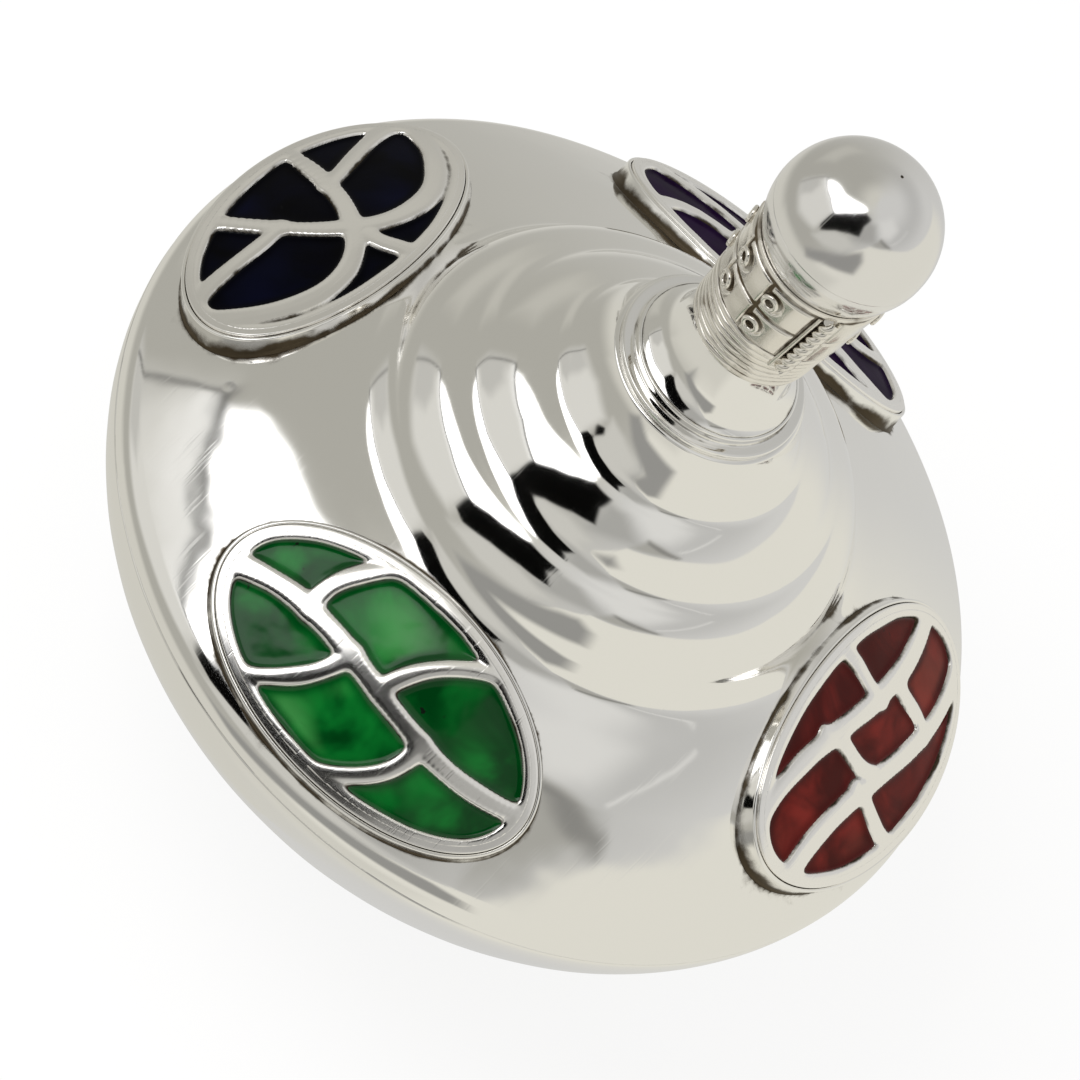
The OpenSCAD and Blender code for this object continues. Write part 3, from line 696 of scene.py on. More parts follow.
# Heights in metres: the slow wave, a hair scratch and a small dent.
WAVE_HEIGHT, SCRATCH_HEIGHT, DENT_HEIGHT = 0.00004, 0.0000011, 0.000012
polish, given, result = shader_group("hand polish", [
    ("Wave Depth", "NodeSocketFloat", 1.0), ("Scratch Depth", "NodeSocketFloat", 1.0),
    ("Dullness", "NodeSocketFloat", 0.08)],
    [("Height", "NodeSocketFloat"), ("Roughness", "NodeSocketFloat"), ("Tone", "NodeSocketFloat")])
place = polish.nodes.new("ShaderNodeTexCoord").outputs["Object"]
wave = noise(polish, place, 170.0, 2.0)
height = times(polish, times(polish, wave, given["Wave Depth"]), WAVE_HEIGHT)
scratches = 0.0
for n, (turn_z, turn_x) in enumerate([(0.3, 0.2), (1.4, 0.9), (2.3, -0.7)]):
    brushed = node(polish, "ShaderNodeMapping", {
        "Vector": place, "Rotation": (turn_x, 0.4 * n, turn_z), "Scale": (6000, 260, 260)}).outputs[0]
    hair = noise(polish, brushed, 1.0, 1.0)
    scratches = plus(polish, scratches, between(polish, hair, 0.64, 0.8))
scratch_depth = times(polish, times(polish, scratches, given["Scratch Depth"]), SCRATCH_HEIGHT)
height = less(polish, height, scratch_depth)
cells = node(polish, "ShaderNodeTexVoronoi", {"Vector": place, "Scale": 210.0, "Randomness": 1.0})
dent = between(polish, cells.outputs["Distance"], 0.0, 0.14, 1.0, 0.0)
lot = node(polish, "ShaderNodeSeparateColor", {0: cells.outputs["Color"]}).outputs[0]
some = calc(polish, "GREATER_THAN", lot, 0.8)
height = less(polish, height, times(polish, times(polish, dent, some), DENT_HEIGHT))
cloud = noise(polish, place, 60.0, 5.0)
dull = times(polish, given["Dullness"], between(polish, cloud, 0.25, 0.75, 0.6, 1.5))
polish.links.new(height, result["Height"])
polish.links.new(plus(polish, dull, times(polish, scratches, 0.03)), result["Roughness"])
polish.links.new(between(polish, cloud, 0.3, 0.7, 0.96, 1.0), result["Tone"])
print("nodes in the polish group:", len(polish.nodes))

# %% Patina with a ragged edge
# This group darkens by patina, and on the plates and the band's rim by painted shade as well.
patina_and_shade, given, result = shader_group("patina_and_shade", [
    ("Gathered", "NodeSocketFloat", 0.0), ("Amount", "NodeSocketFloat", 1.0),
    ("Patch Scale", "NodeSocketFloat", 130.0), ("Lightness", "NodeSocketFloat", 1.0)],
    [("Mask", "NodeSocketFloat"), ("Film Color", "NodeSocketColor")])
place = patina_and_shade.nodes.new("ShaderNodeTexCoord").outputs["Object"]
ragged = noise(patina_and_shade, place, 900.0, 4.0, Roughness=0.65)
patchy = noise(patina_and_shade, place, given["Patch Scale"], 2.0)
uneven = plus(patina_and_shade, times(patina_and_shade, less(patina_and_shade, ragged, 0.5), 0.7),
              times(patina_and_shade, less(patina_and_shade, patchy, 0.5), 1.6))
reach = plus(patina_and_shade, times(patina_and_shade, given["Gathered"], given["Amount"]), uneven)
film = mixed(patina_and_shade, patchy, (0.014, 0.011, 0.008, 1), (0.10, 0.078, 0.05, 1))
present = between(patina_and_shade, given["Gathered"], 0.0, 0.12)
patina_and_shade.links.new(times(patina_and_shade, between(patina_and_shade, reach, 0.5, 1.05), present), result["Mask"])
film = node(patina_and_shade, "ShaderNodeVectorMath", {0: film, "Scale": given["Lightness"]}, operation="SCALE")
patina_and_shade.links.new(film.outputs[0], result["Film Color"])
print("nodes in the patina group:", len(patina_and_shade.nodes))

# %% [markdown]
# ## Silver
# Silver is a metal with hardly any colour of its own, a little warm. The plain values sit on
# the shader's own sockets, and the groups drive colour, roughness and the bump.

# %% Silver finishes
def silver_finish(name, color, dullness, wave, scratch, film, patch=160.0, light=1.0):
    material = bpy.data.materials.new(name)
    material.use_nodes = True
    tree = material.node_tree
    tree.nodes.clear()
    hand = node(tree, "ShaderNodeGroup", node_tree=polish)
    for label, value in (("Wave Depth", wave), ("Scratch Depth", scratch), ("Dullness", dullness)):
        hand.inputs[label].default_value = value
    dirt_and_shade = node(tree, "ShaderNodeGroup", node_tree=patina_and_shade)
    for label, value in (("Amount", film), ("Patch Scale", patch), ("Lightness", light)):
        dirt_and_shade.inputs[label].default_value = value
    gathered = node(tree, "ShaderNodeAttribute", attribute_name="patina_and_shade").outputs["Fac"]
    tree.links.new(gathered, dirt_and_shade.inputs["Gathered"])
    dim = tuple(0.9 * c for c in color[:3]) + (1,)
    toned = mixed(tree, hand.outputs["Tone"], dim, color)
    skin = mixed(tree, dirt_and_shade.outputs["Mask"], toned, dirt_and_shade.outputs["Film Color"])
    rough = plus(tree, hand.outputs["Roughness"], times(tree, dirt_and_shade.outputs["Mask"], 0.38))
    bump = node(tree, "ShaderNodeBump", {
        "Height": hand.outputs["Height"], "Strength": 1.0, "Distance": 1.0}).outputs[0]
    shader = node(tree, "ShaderNodeBsdfPrincipled", {
        "Base Color": skin, "Metallic": 1.0, "Roughness": rough, "Normal": bump})
    tree.links.new(shader.outputs[0], node(tree, "ShaderNodeOutputMaterial").inputs[0])
    print("finish made:", name)
    return material


silver = silver_finish("polished silver", (0.96, 0.95, 0.925, 1), 0.06, 1.0, 0.3, 1.0, 300.0, 1.5)
ball_silver = silver_finish("ball silver", (0.90, 0.89, 0.875, 1), 0.09, 1.0, 1.0, 1.3)
plate_silver = silver_finish("plate silver", (0.97, 0.955, 0.93, 1), 0.13, 2.6, 2.0, 1.0, 400.0)
band_silver = silver_finish("band silver", (0.90, 0.87, 0.81, 1), 0.14, 2.4, 1.4, 1.1, 520.0, 2.3)
inner_silver = silver_finish("plain silver inside", (0.8, 0.78, 0.73, 1), 0.3, 2.0, 2.0, 1.0)
for obj in (bowl, shoulder, tip, tip_washer, collar, neck):
    obj.data.materials.append(silver)
for obj in (ball_top, ball_bottom):
    obj.data.materials.append(ball_silver)
for obj in (sleeve, reeds, rim, pad, stud):
    obj.data.materials.append(band_silver)
for name in ("anchor_washer", "stem_rod"):
    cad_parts[name].data.materials.clear()
    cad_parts[name].data.materials.append(inner_silver)

# %% [markdown]
# ## Pads, studs and strips on the band
# Now the pads of half the band and the one stud are repeated. The strip is wound upright on the
# origin, then leant onto the sleeve's side and repeated like the others.

# %% Repeat the pads and studs
ROPE_AT = math.radians(-50)
first_pad = ROPE_AT + math.radians((ROPE_ZONE + PAD_PARTING) / 2)
pitch = math.radians(PAD_PITCH)
row_step = (PAD_H + PAD_GAP) * MM
grown(pad, repeat, First_Angle=first_pad, Per_Half=1, Rows=1, Material=band_silver)
grown(stud, repeat, First_Angle=first_pad + pitch, Pitch_Angle=pitch, Per_Half=PADS_PER_HALF - 1,
      Rows=PAD_ROWS, Row_Out=row_step * math.tan(LEAN), Row_Up=row_step, Material=band_silver)


# %% Wind the strips and stand them on the sleeve
STRIP_FOOT_H = REED_H - 0.8
STRIP_LENGTH = (BAND_H - REED_H + 0.75) * MM
SIDE_WIRE_AT, SIDE_WIRE_OUT, ROPE_OUT = 0.66, 0.12, 0.27


def wound(name, twist_radius, wire_radius, turns, strands):
    """Strands in metres, standing on the origin."""
    obj = bpy.data.objects.new(name, bpy.data.meshes.new(name))
    scene.collection.objects.link(obj)
    grown(obj, twist, Length=STRIP_LENGTH, Wire_Radius=wire_radius, Twist_Radius=twist_radius,
          Turns=turns, Strands=strands, Material=band_silver)
    mesh = obj.data
    bpy.data.objects.remove(obj)
    return mesh


parts = [(wound("rope", 0.0002, 0.00028, 4.2, 2), 0.0, ROPE_OUT),
         (wound("left_wire", 0.0, 0.00013, 0, 1), -SIDE_WIRE_AT, SIDE_WIRE_OUT),
         (wound("right_wire", 0.0, 0.00013, 0, 1), SIDE_WIRE_AT, SIDE_WIRE_OUT)]
strip = bmesh.new()
for mesh, sideways, stand in parts:
    foot = Vector((band_r(STRIP_FOOT_H) + stand, sideways, BAND_Z + STRIP_FOOT_H)) * MM
    mesh.transform(Matrix.Translation(foot) @ Matrix.Rotation(LEAN, 4, "Y"))
    strip.from_mesh(mesh)
strip_mesh = bpy.data.meshes.new("ropes")
strip.to_mesh(strip_mesh)
strip.free()
shade = strip_mesh.attributes.new("patina_and_shade", "FLOAT", "POINT")
place = np.empty(len(strip_mesh.vertices) * 3)
strip_mesh.vertices.foreach_get("co", place)
place = place.reshape(-1, 3) / MM
stand = place[:, 0] - band_r(place[:, 2] - BAND_Z)
shade.data.foreach_set("value", np.clip(0.95 - stand / 0.38, 0, 1))
ropes = finished("ropes", strip_mesh, "band_silver", "rope_strips")
grown(ropes, repeat, First_Angle=ROPE_AT, Per_Half=1, Rows=1, Material=band_silver)

# %% [markdown]
# ## The plaques
# Each face plate is one sheet with cells cut through it, hammered to a low dome, and what is
# left between the cells are ribbons. The plate is made as a height field: for each point, the
# distance to the nearest ribbon or to the border tells whether it is metal, wall or cell.
# Distances blend softly, which gives the small fillets where ribbons meet. The designs are
# plain ones made for this lesson: a leaf spray, waves, a pinwheel and crossing arches.

# %% Ribbon designs, as shares of the window
# A ribbon is a curve with a start, two handles and an end, and its widths at start and end.
SPRAY = [
    ((-1.1, -0.25), (-0.4, 0.6), (0.35, -0.65), (1.1, 0.25), 1.3, 1),
    ((-0.55, 0.05), (-0.62, 0.4), (-0.5, 0.8), (-0.3, 1.15), 1, 0.8),
    ((0.02, 0), (0.05, 0.4), (0.2, 0.8), (0.5, 1.1), 1, 0.8),
    ((-0.22, 0.05), (-0.25, -0.35), (-0.4, -0.75), (-0.68, -1.05), 1, 0.8),
    ((0.38, -0.1), (0.42, -0.5), (0.3, -0.8), (0.02, -1.15), 1, 0.8)]
WAVES = [
    ((-1.1, 0.3), (-0.4, 0.95), (0.3, -0.2), (1.1, 0.55), 1, 1.3),
    ((-1.1, -0.45), (-0.3, 0.2), (0.4, -1), (1.1, -0.25), 1.3, 1),
    ((-0.3, 0.55), (-0.15, 0.3), (-0.25, 0.05), (-0.12, -0.25), 0.8, 1),
    ((0.45, 0.25), (0.35, 0.05), (0.52, -0.2), (0.42, -0.5), 1, 0.8),
    ((0.12, 1.1), (0.22, 0.8), (0.15, 0.5), (0.22, 0.25), 1, 0.8),
    ((-0.2, -1.1), (-0.3, -0.8), (-0.2, -0.5), (-0.28, -0.2), 1, 0.8)]
ARCHES = [
    ((-1.1, -0.35), (-0.7, 1.15), (0.1, 1.1), (0.4, -1.15), 1.3, 1),
    ((1.1, -0.35), (0.7, 1.15), (-0.1, 1.1), (-0.4, -1.15), 1.3, 1),
    ((0, 0.55), (0.05, 0.75), (-0.05, 0.95), (0, 1.15), 1, 1.2),
    ((-1.05, -0.4), (-0.75, -0.5), (-0.5, -0.3), (-0.22, -0.3), 1, 0.8),
    ((1.05, -0.4), (0.75, -0.5), (0.5, -0.3), (0.22, -0.3), 1, 0.8)]
HUB_A, HUB_B = 0.27, 0.4
SPOKE_COUNT, SPOKE_SWEEP = 6, 28


def spoke(number):
    a, b, c = (math.radians(360 / SPOKE_COUNT * (number + 0.25) + SPOKE_SWEEP * t) for t in (0, 1 / 3, 1))
    return ((HUB_A * 1.25 * math.cos(a), HUB_B * 1.25 * math.sin(a)), (0.6 * math.cos(a), 0.65 * math.sin(a)),
            (0.85 * math.cos(b), 0.85 * math.sin(b)), (1.1 * math.cos(c), 1.1 * math.sin(c)), 1, 1)


SPOKES = [spoke(i) for i in range(SPOKE_COUNT)]
DESIGNS = {"green": SPRAY, "red": WAVES, "purple": SPOKES, "black": ARCHES}
WINDOW_A, WINDOW_B = PLATE_A - BORDER_W, PLATE_B - BORDER_W
print("ribbons:", {name: len(ribbons) for name, ribbons in DESIGNS.items()})


# %% Distance to the metal of a plate
FILLET = 0.15


def metal_gap(name, x, y):
    """How far a point lies from the nearest metal; negative on the metal."""
    shapes = [-oval_gap(x, y, WINDOW_A, WINDOW_B)]
    t = np.linspace(0, 1, 70)
    shares = (1 - t) ** 3, 3 * t * (1 - t) ** 2, 3 * t * t * (1 - t), t ** 3
    for *corners, first_w, last_w in DESIGNS[name]:
        corners = [np.array(corner) * (WINDOW_A, WINDOW_B) for corner in corners]
        curve = sum(share[:, None] * corner for share, corner in zip(shares, corners))
        best = np.full(x.shape, 99.0)
        for (cx, cy), width in zip(curve, RIBBON_W * (first_w + (last_w - first_w) * t)):
            best = np.minimum(best, np.hypot(x - cx, y - cy) - width / 2)
        shapes.append(best)
    if name == "purple":
        hub = oval_gap(x, y, HUB_A * WINDOW_A + RIBBON_W / 2, HUB_B * WINDOW_B + RIBBON_W / 2)
        shapes.append(np.abs(hub) - RIBBON_W / 2)
    gap = -FILLET * np.log(sum(np.exp(-np.clip(s, -6, 6) / FILLET) for s in shapes))
    return gap + 0.05 * wander(x * 1.6, y * 1.6, 31 + len(name))


# %% Sweeping a rim round an oval
RIM_STEPS = 360


def oval_ring(count=RIM_STEPS):
    """Points of the plate's outline at even steps, with the direction that points out."""
    fine = np.linspace(0, 2 * math.pi, 4001)
    chords = np.hypot(np.diff(PLATE_A * np.cos(fine)), np.diff(PLATE_B * np.sin(fine)))
    run = np.concatenate([[0], np.cumsum(chords)])
    t = np.interp(np.linspace(0, run[-1], count, endpoint=False), run, fine)
    normal = np.stack([PLATE_B * np.cos(t), PLATE_A * np.sin(t)], 1)
    ring = np.stack([PLATE_A * np.cos(t), PLATE_B * np.sin(t)], 1)
    return ring, normal / np.linalg.norm(normal, axis=1)[:, None]


def swept_rim(section):
    """section is a list of (outward, height), each a number or one number for every step."""
    ring, normal = oval_ring()
    rows = []
    for outward, height in section:
        level = np.broadcast_to(height, RIM_STEPS)[:, None]
        rows.append(np.concatenate([ring + normal * np.broadcast_to(outward, RIM_STEPS)[:, None], level], 1))
    return np.concatenate(rows), grid_faces(len(section), RIM_STEPS)


# %% Face plates
PLATE_STEP, RIM_FLAT = 0.085, 0.42
CELL_DEPTH = 0.41


def plate_height(gx, gy, gap):
    """Height of the pierced sheet: cells sink, and the ribbons are a little rounded."""
    inland = np.clip(-gap / 0.4, 0, 1)
    far_in = smooth(-oval_gap(gx, gy, PLATE_A - RIM_FLAT, PLATE_B - RIM_FLAT) / 0.2)
    rounded = far_in * 0.05 * (1 - inland) ** 2
    return far_in * 0.008 * wander(gx * 1.1, gy * 1.1, 41) - CELL_DEPTH * smooth(gap / 0.2) - rounded


def make_plate(name):
    gx, gy = np.meshgrid(np.arange(-PLATE_A, PLATE_A + PLATE_STEP, PLATE_STEP),
                         np.arange(-PLATE_B, PLATE_B + PLATE_STEP, PLATE_STEP))
    a, b = PLATE_A - RIM_FLAT, PLATE_B - RIM_FLAT
    out = oval_gap(gx, gy, a, b)
    keep = out < 0
    length = np.hypot(gx / a ** 2, gy / b ** 2) + 1e-9
    gx = np.where(keep, gx, gx - out * gx / a ** 2 / length)
    gy = np.where(keep, gy, gy - out * gy / b ** 2 / length)
    gap = metal_gap(name, gx, gy)
    points, faces, used = height_sheet(gx, gy, plate_height(gx, gy, gap), keep)
    # Patina in the cells and on their walls, which also gives painted shade along the cell edges.
    shade = np.clip(0.55 + gap / 0.25, 0, 0.95).ravel()[used]
    solid, faces = closed_below(points, faces, -PLATE_T)
    section = softened([(-0.7, -PLATE_T), (0, -PLATE_T), (0, 0), (-RIM_FLAT, 0), (-0.7, -0.03)], 0.06, 0.1)
    rim_points, rim_faces = swept_rim(section)
    # The lower half of the plate's side is darkened: patina, and painted shadow in the gap to the bezel.
    rim_shade = np.repeat(0.7 * smooth((-section[:, 1] - 0.25) / 0.2), RIM_STEPS)
    faces += [[i + len(solid) for i in f] for f in rim_faces]
    plate = silver_piece(name + "_face", placed(name, np.concatenate([solid, rim_points])), faces, "silver",
                         name + "_plate", dark=np.concatenate([shade, shade, rim_shade]))
    plate.data.materials.append(plate_silver)


for name in DESIGNS:
    make_plate(name)

# %% [markdown]
# The bezel is a low wall whose top shows as a thin bright line round the plate, and whose
# foot follows the curve of the shoulder. For each step round the oval, the foot's depth is
# found by halving an interval until the point lies on the body.

# %% Bezels
def body_depth(name, x, y):
    """How far below the plate's face the body's surface lies."""
    low, high = np.zeros(len(x)), np.full(len(x), 6.0)
    for _ in range(30):
        mid = (low + high) / 2
        p = placed(name, np.stack([x, y, -mid], 1))
        surface = np.interp(-np.hypot(p[:, 0], p[:, 1]), -SHOULDER[:, 0], SHOULDER[:, 1])
        above = p[:, 2] > surface
        low, high = np.where(above, mid, low), np.where(above, high, mid)
    return low


BEZEL_TOP = -0.14
BEZEL_INSIDE = -0.9
WALL_STEPS = np.linspace(0, 1, 9)


def make_bezel(name):
    ring, normal = oval_ring()
    deep = {e: body_depth(name, *(ring + normal * e).T) for e in (BEZEL_INSIDE, 0.27, 0.3, 0.42)}
    top = BEZEL_TOP
    foot = np.minimum(-deep[0.3] + 0.18, top - 0.24)
    base = np.minimum(-deep[0.42] - 0.03, foot - 0.16)
    inner_foot = np.minimum(-deep[0.27], foot) - 0.2
    wall = [(0.25 + 0.04 * t, top - 0.14 + (foot - top + 0.14) * t) for t in WALL_STEPS]
    section = [(BEZEL_INSIDE, -deep[BEZEL_INSIDE] - 0.05), (0.0, inner_foot), (0.34, base - 0.04),
               (0.43, base), (0.37, (base + foot) / 2 - 0.02), (0.32, foot - 0.05)]
    section += wall[::-1]
    section += [(0.25, top - 0.07), (0.225, top - 0.02), (0.175, top), (0.11, top), (0.06, top - 0.03),
                (0.03, top - 0.12), (0.0, -PLATE_T - 0.12), (BEZEL_INSIDE, -PLATE_T - 0.12)]
    points, faces = swept_rim(section)
    wall_shade = (0.85 - 0.75 * WALL_STEPS).tolist()
    shade = np.array([1, 1, 1, 1, 1, 0.95] + wall_shade + [0, 0, 0, 0, 0.15, 0.6, 1, 1])[:, None]
    shade = np.clip(shade + stain(name, *ring.T) * (shade > 0), 0, 1.2)
    bezel = silver_piece(name + "_setting", placed(name, points), faces, "silver", name + "_bezel",
                         dark=shade.ravel())
    bezel.data.materials.append(silver)


for name in DESIGNS:
    make_bezel(name)

# %% [markdown]
# ## Enamel
# Enamel is glass that is melted into the cells. It shrinks a little and climbs the walls, so
# each cell is a shallow dish with a bright line of light round its edge. The colour is deep,
# darker towards the walls and clearer in cloudy spots, with pale patches of painted reflection
# and a few dark specks.

# %% Enamel finishes
def enamel_finish(name, deep, clear, reflection_tint, speck, index):
    """Glass from deep to clear, with pale patches of painted reflection and dark specks."""
    material = bpy.data.materials.new(name)
    material.use_nodes = True
    tree = material.node_tree
    tree.nodes.clear()
    place = tree.nodes.new("ShaderNodeTexCoord").outputs["Object"]
    inland = node(tree, "ShaderNodeAttribute", attribute_name="inland").outputs["Fac"]
    cloud = noise(tree, place, 230.0, 3.0, Distortion=0.6)
    lit = times(tree, between(tree, cloud, 0.35, 0.7), between(tree, inland, 0.05, 0.9, 0.25, 1.0))
    tint = mixed(tree, lit, (*deep, 1), (*clear, 1))
    # Pale patches towards the middle of each cell: a painted reflection.
    reflection_patch = between(tree, noise(tree, place, 150.0, 1.0), 0.5, 0.68, 0.0, 0.55)
    tint = mixed(tree, times(tree, reflection_patch, between(tree, inland, 0.35, 1.0)), tint, (*reflection_tint, 1))
    grit = between(tree, noise(tree, place, 1500.0, 3.0), 0.66, 0.72)
    zone = between(tree, noise(tree, place, 180.0, 1.0), 0.55, 0.62)
    specks = times(tree, times(tree, grit, zone), speck)
    tint = mixed(tree, specks, tint, (0.004, 0.004, 0.004, 1))
    ripple = times(tree, noise(tree, place, 420.0, 2.0), 0.00003)
    bump = node(tree, "ShaderNodeBump", {"Height": ripple, "Strength": 1.0, "Distance": 1.0}).outputs[0]
    rough = between(tree, cloud, 0.3, 0.7, 0.07, 0.16)
    climb = between(tree, inland, 0.0, 0.3, 1.0, 0.0)
    shader = node(tree, "ShaderNodeBsdfPrincipled", {
        "Base Color": tint, "Roughness": rough, "IOR": index, "Normal": bump,
        "Coat Weight": times(tree, climb, min(1.0, 3 * (index - 1))), "Coat Roughness": 0.06,
        "Coat IOR": 1.5})
    tree.links.new(shader.outputs[0], node(tree, "ShaderNodeOutputMaterial").inputs[0])
    print("finish made:", name)
    return material


# For each enamel: the deep and the clear colour, the colour of its painted reflection, the share of specks
# and the index.
ENAMEL = {
    "green": enamel_finish("green enamel", (0.0, 0.028, 0.004), (0.001, 0.115, 0.014),
                           (0.05, 0.24, 0.06), 0.9, 1.36),
    "red": enamel_finish("red enamel", (0.045, 0.004, 0.003), (0.16, 0.014, 0.01),
                         (0.2, 0.034, 0.022), 0.4, 1.2),
    "purple": enamel_finish("purple enamel", (0.006, 0.0015, 0.012), (0.012, 0.003, 0.022),
                            (0.02, 0.007, 0.034), 0.4, 1.05),
    "black": enamel_finish("blue black enamel", (0.0004, 0.0004, 0.0008), (0.0008, 0.001, 0.004),
                           (0.001, 0.0015, 0.009), 0.4, 1.1)}


# %% Enamel in the cells
ENAMEL_STEP, ENAMEL_LOW, MENISCUS = 0.1, -0.33, 0.17


def make_enamel(name):
    gx, gy = np.meshgrid(np.arange(-WINDOW_A, WINDOW_A + ENAMEL_STEP, ENAMEL_STEP),
                         np.arange(-WINDOW_B, WINDOW_B + ENAMEL_STEP, ENAMEL_STEP))
    gap = metal_gap(name, gx, gy)
    z = ENAMEL_LOW + MENISCUS * np.exp(-np.maximum(gap, 0) / MENISCUS)
    z = z + 0.01 * wander(gx * 1.3, gy * 1.3, 51)
    points, faces, used = height_sheet(gx, gy, z, gap > -0.05)
    points, faces = closed_below(points, faces, -PLATE_T + 0.02)
    inland = np.clip(gap.ravel()[used] / 0.9, 0, 1)
    mesh = bpy.data.meshes.new(name + "_glass")
    mesh.from_pydata((placed(name, points) * MM).tolist(), [], faces)
    depth = mesh.attributes.new("inland", "FLOAT", "POINT")
    depth.data.foreach_set("value", np.concatenate([inland, inland]))
    mesh.materials.append(ENAMEL[name])
    finished(name + "_glass", mesh, name + "_enamel", name + "_enamel")


for name in DESIGNS:
    make_enamel(name)

# %% [markdown]
# ## The tent
# Polished silver is photographed inside a tent of white cloth. What it shows is the cloth, a
# bright window in it and the dark opening for the camera. The tent here is a large ball that
# only reflections see. Its cards are painted on by direction, given as the turn round the
# top and the height above the horizon, each with a soft edge.

# %% Tones of the tent
def card_gap(turn, lift, corners):
    """Distance in degrees to a card's outline; negative inside."""
    corners = np.array(corners, float)
    inside = np.zeros(turn.shape, bool)
    best = np.full(turn.shape, 999.0)
    squeeze = np.cos(np.radians(lift))
    for (ax, ay), (bx, by) in zip(corners, np.roll(corners, -1, 0)):
        px, py, ex, ey = (turn - ax) * squeeze, lift - ay, (bx - ax) * squeeze, by - ay
        t = np.clip((px * ex + py * ey) / (ex * ex + ey * ey + 1e-9), 0, 1)
        best = np.minimum(best, np.hypot(px - t * ex, py - t * ey))
        cross = (ay > lift) != (by > lift)
        inside ^= cross & (turn < (bx - ax) * (lift - ay) / (by - ay + 1e-9) + ax)
    return np.where(inside, -best, best)


def grey(value, warm=1.0):
    """A pale warm grey of the tent from a tone between 0 and 255 as a screen shows it."""
    linear = (value / 255) ** 2.2
    return linear * (1 + warm * np.array([0.02, 0, -0.09]))


# Each card has a name, a tone and one or two outlines, each with the softness of its edge.
# Where there are two, the card is what both cover.
SILL = [(-215, 10), (-195, 19), (-179, 24.7), (-164, 29.8), (-150, 34.5), (-122, 34.5)]
BELOW_SILL = SILL + [(-118, 10), (-120, -40), (-215, -40)]
CARDS = [
    ("low cloth", grey(220), [
        (1.6, [(-80, 2), (-66, 22), (-50, 34.5), (-30, 33), (-20, 31.5), (-7.5, 27.5), (7.5, 21.8),
               (40, 14), (90, 0), (90, -75), (-110, -75), (-110, -30), (-90, -12)]),
        (20, [(-95, 60), (62, 60), (62, -62), (-95, -62)])]),
    ("table", grey(205), [(16, [(-165, -28), (-60, -24), (-60, -62), (-165, -62)])]),
    ("left cloth", grey(186), [(14, [(128, 0), (156, 0), (156, 18), (128, 18)])]),
    ("right cloth", grey(216, 0.3), [(12, [(-36, 46), (-20, 43), (0, 50), (0, 66), (-40, 66)])]),
    ("grey fold", grey(146, 0.5), [
        (8, [(-112, -20), (-95, -3), (-78, 9), (-64, 20), (-56, 24), (-50, 14), (-51, -5),
             (-66, -9), (-85, -15), (-105, -28)])]),
    ("end of the fold", grey(164, 0.8), [
        (4, [(-48, 36), (-34, 46), (-26, 41), (-18, 33), (-30, 34)])]),
    ("crease", grey(132, 0.6), [
        (3, [(-35, 45), (-27, 40), (-18, 33.6), (-20, 32.4), (-29, 37), (-36, 42.5)])]),
    ("thread", grey(216, 0.3), [
        (1, [(-18, 36.6), (-2, 38.2), (15, 40.4), (15, 41.4), (-2, 39.4), (-18, 37.6)])]),
    ("beside the camera", grey(166, 0.5), [(10, [(-76, 34), (-70, 62), (-50, 60), (-44, 40)])]),
    ("front cloth", grey(198, 0.7), [
        (9, [(-118, -2), (-112, 24), (-88, 32), (-70, 26), (-80, 12), (-100, 2)])]),
    ("below the window", grey(214, 0.6), [
        (1.6, BELOW_SILL), (12, [(-180, 60), (-122, 60), (-122, 4), (-150, -8), (-180, -6)])]),
    ("streaks", grey(190, 0.6), [(8, [(-180, 17), (-170, 19), (-162, 10), (-166, -5), (-184, -6)])]),
    ("glow", grey(240, 0.3), [
        (1.6, BELOW_SILL),
        (5, [(-180, 21), (-164, 26), (-150, 31), (-124, 31), (-124, 36), (-150, 37), (-180, 27)])]),
    ("window", grey(255, 0.0) * 2.2, [
        (1.3, SILL + [(-117, 46), (-106, 60), (-94, 68), (-90, 90), (-215, 90)]),
        (4, [(-179, 10), (-80, 10), (-80, 72), (-110, 73), (-125, 70), (-136, 65), (-146, 58),
             (-154, 51.5), (-159, 48.5), (-164, 46), (-169, 42.5), (-173, 38), (-176, 32)])]),
    ("window foot", grey(100, 0.5), [
        (1.1, [(-180.6, 23.4), (-164, 28.4), (-150, 33), (-122, 33), (-122, 34.3), (-150, 34.3),
               (-164, 29.7), (-180.6, 24.8)])]),
    ("seam", grey(128, 0.6), [
        (1.1, [(-181.4, 24.4), (-180.2, 24.4), (-180, 2), (-180.4, -8), (-181.3, -8), (-181.2, 2)])]),
    ("camera", grey(14), [
        (2.5, [(-126, 32), (-122, 14), (-116, 11), (-104, 26), (-88, 36), (-72, 40), (-74, 54),
               (-66, 66), (-92, 69), (-106, 60), (-118, 47)])]),
]


def tent_color(turn, lift):
    """The bare cloth, warmer and darker on the left, with the cards laid over it in turn."""
    rightness = smooth(0.5 + 0.65 * np.cos(np.radians(turn - 15)))
    left = 170 + 34 * smooth((lift - 58) / 25) + 34 * smooth((-lift - 20) / 16)
    right = 206 - 18 * smooth(1 - np.abs(lift - 42) / 24)
    base = left + (right - left) * rightness
    color = grey(base[:, None], 1 - 0.75 * rightness[:, None])
    for _, tone, outlines in CARDS:
        for lap in (-360, 0, 360):
            mask = 1
            for soft, corners in outlines:
                mask = mask * smooth(0.5 - card_gap(turn + lap, lift, corners) / soft)
            color = color * (1 - mask[:, None]) + tone * mask[:, None]
    return color


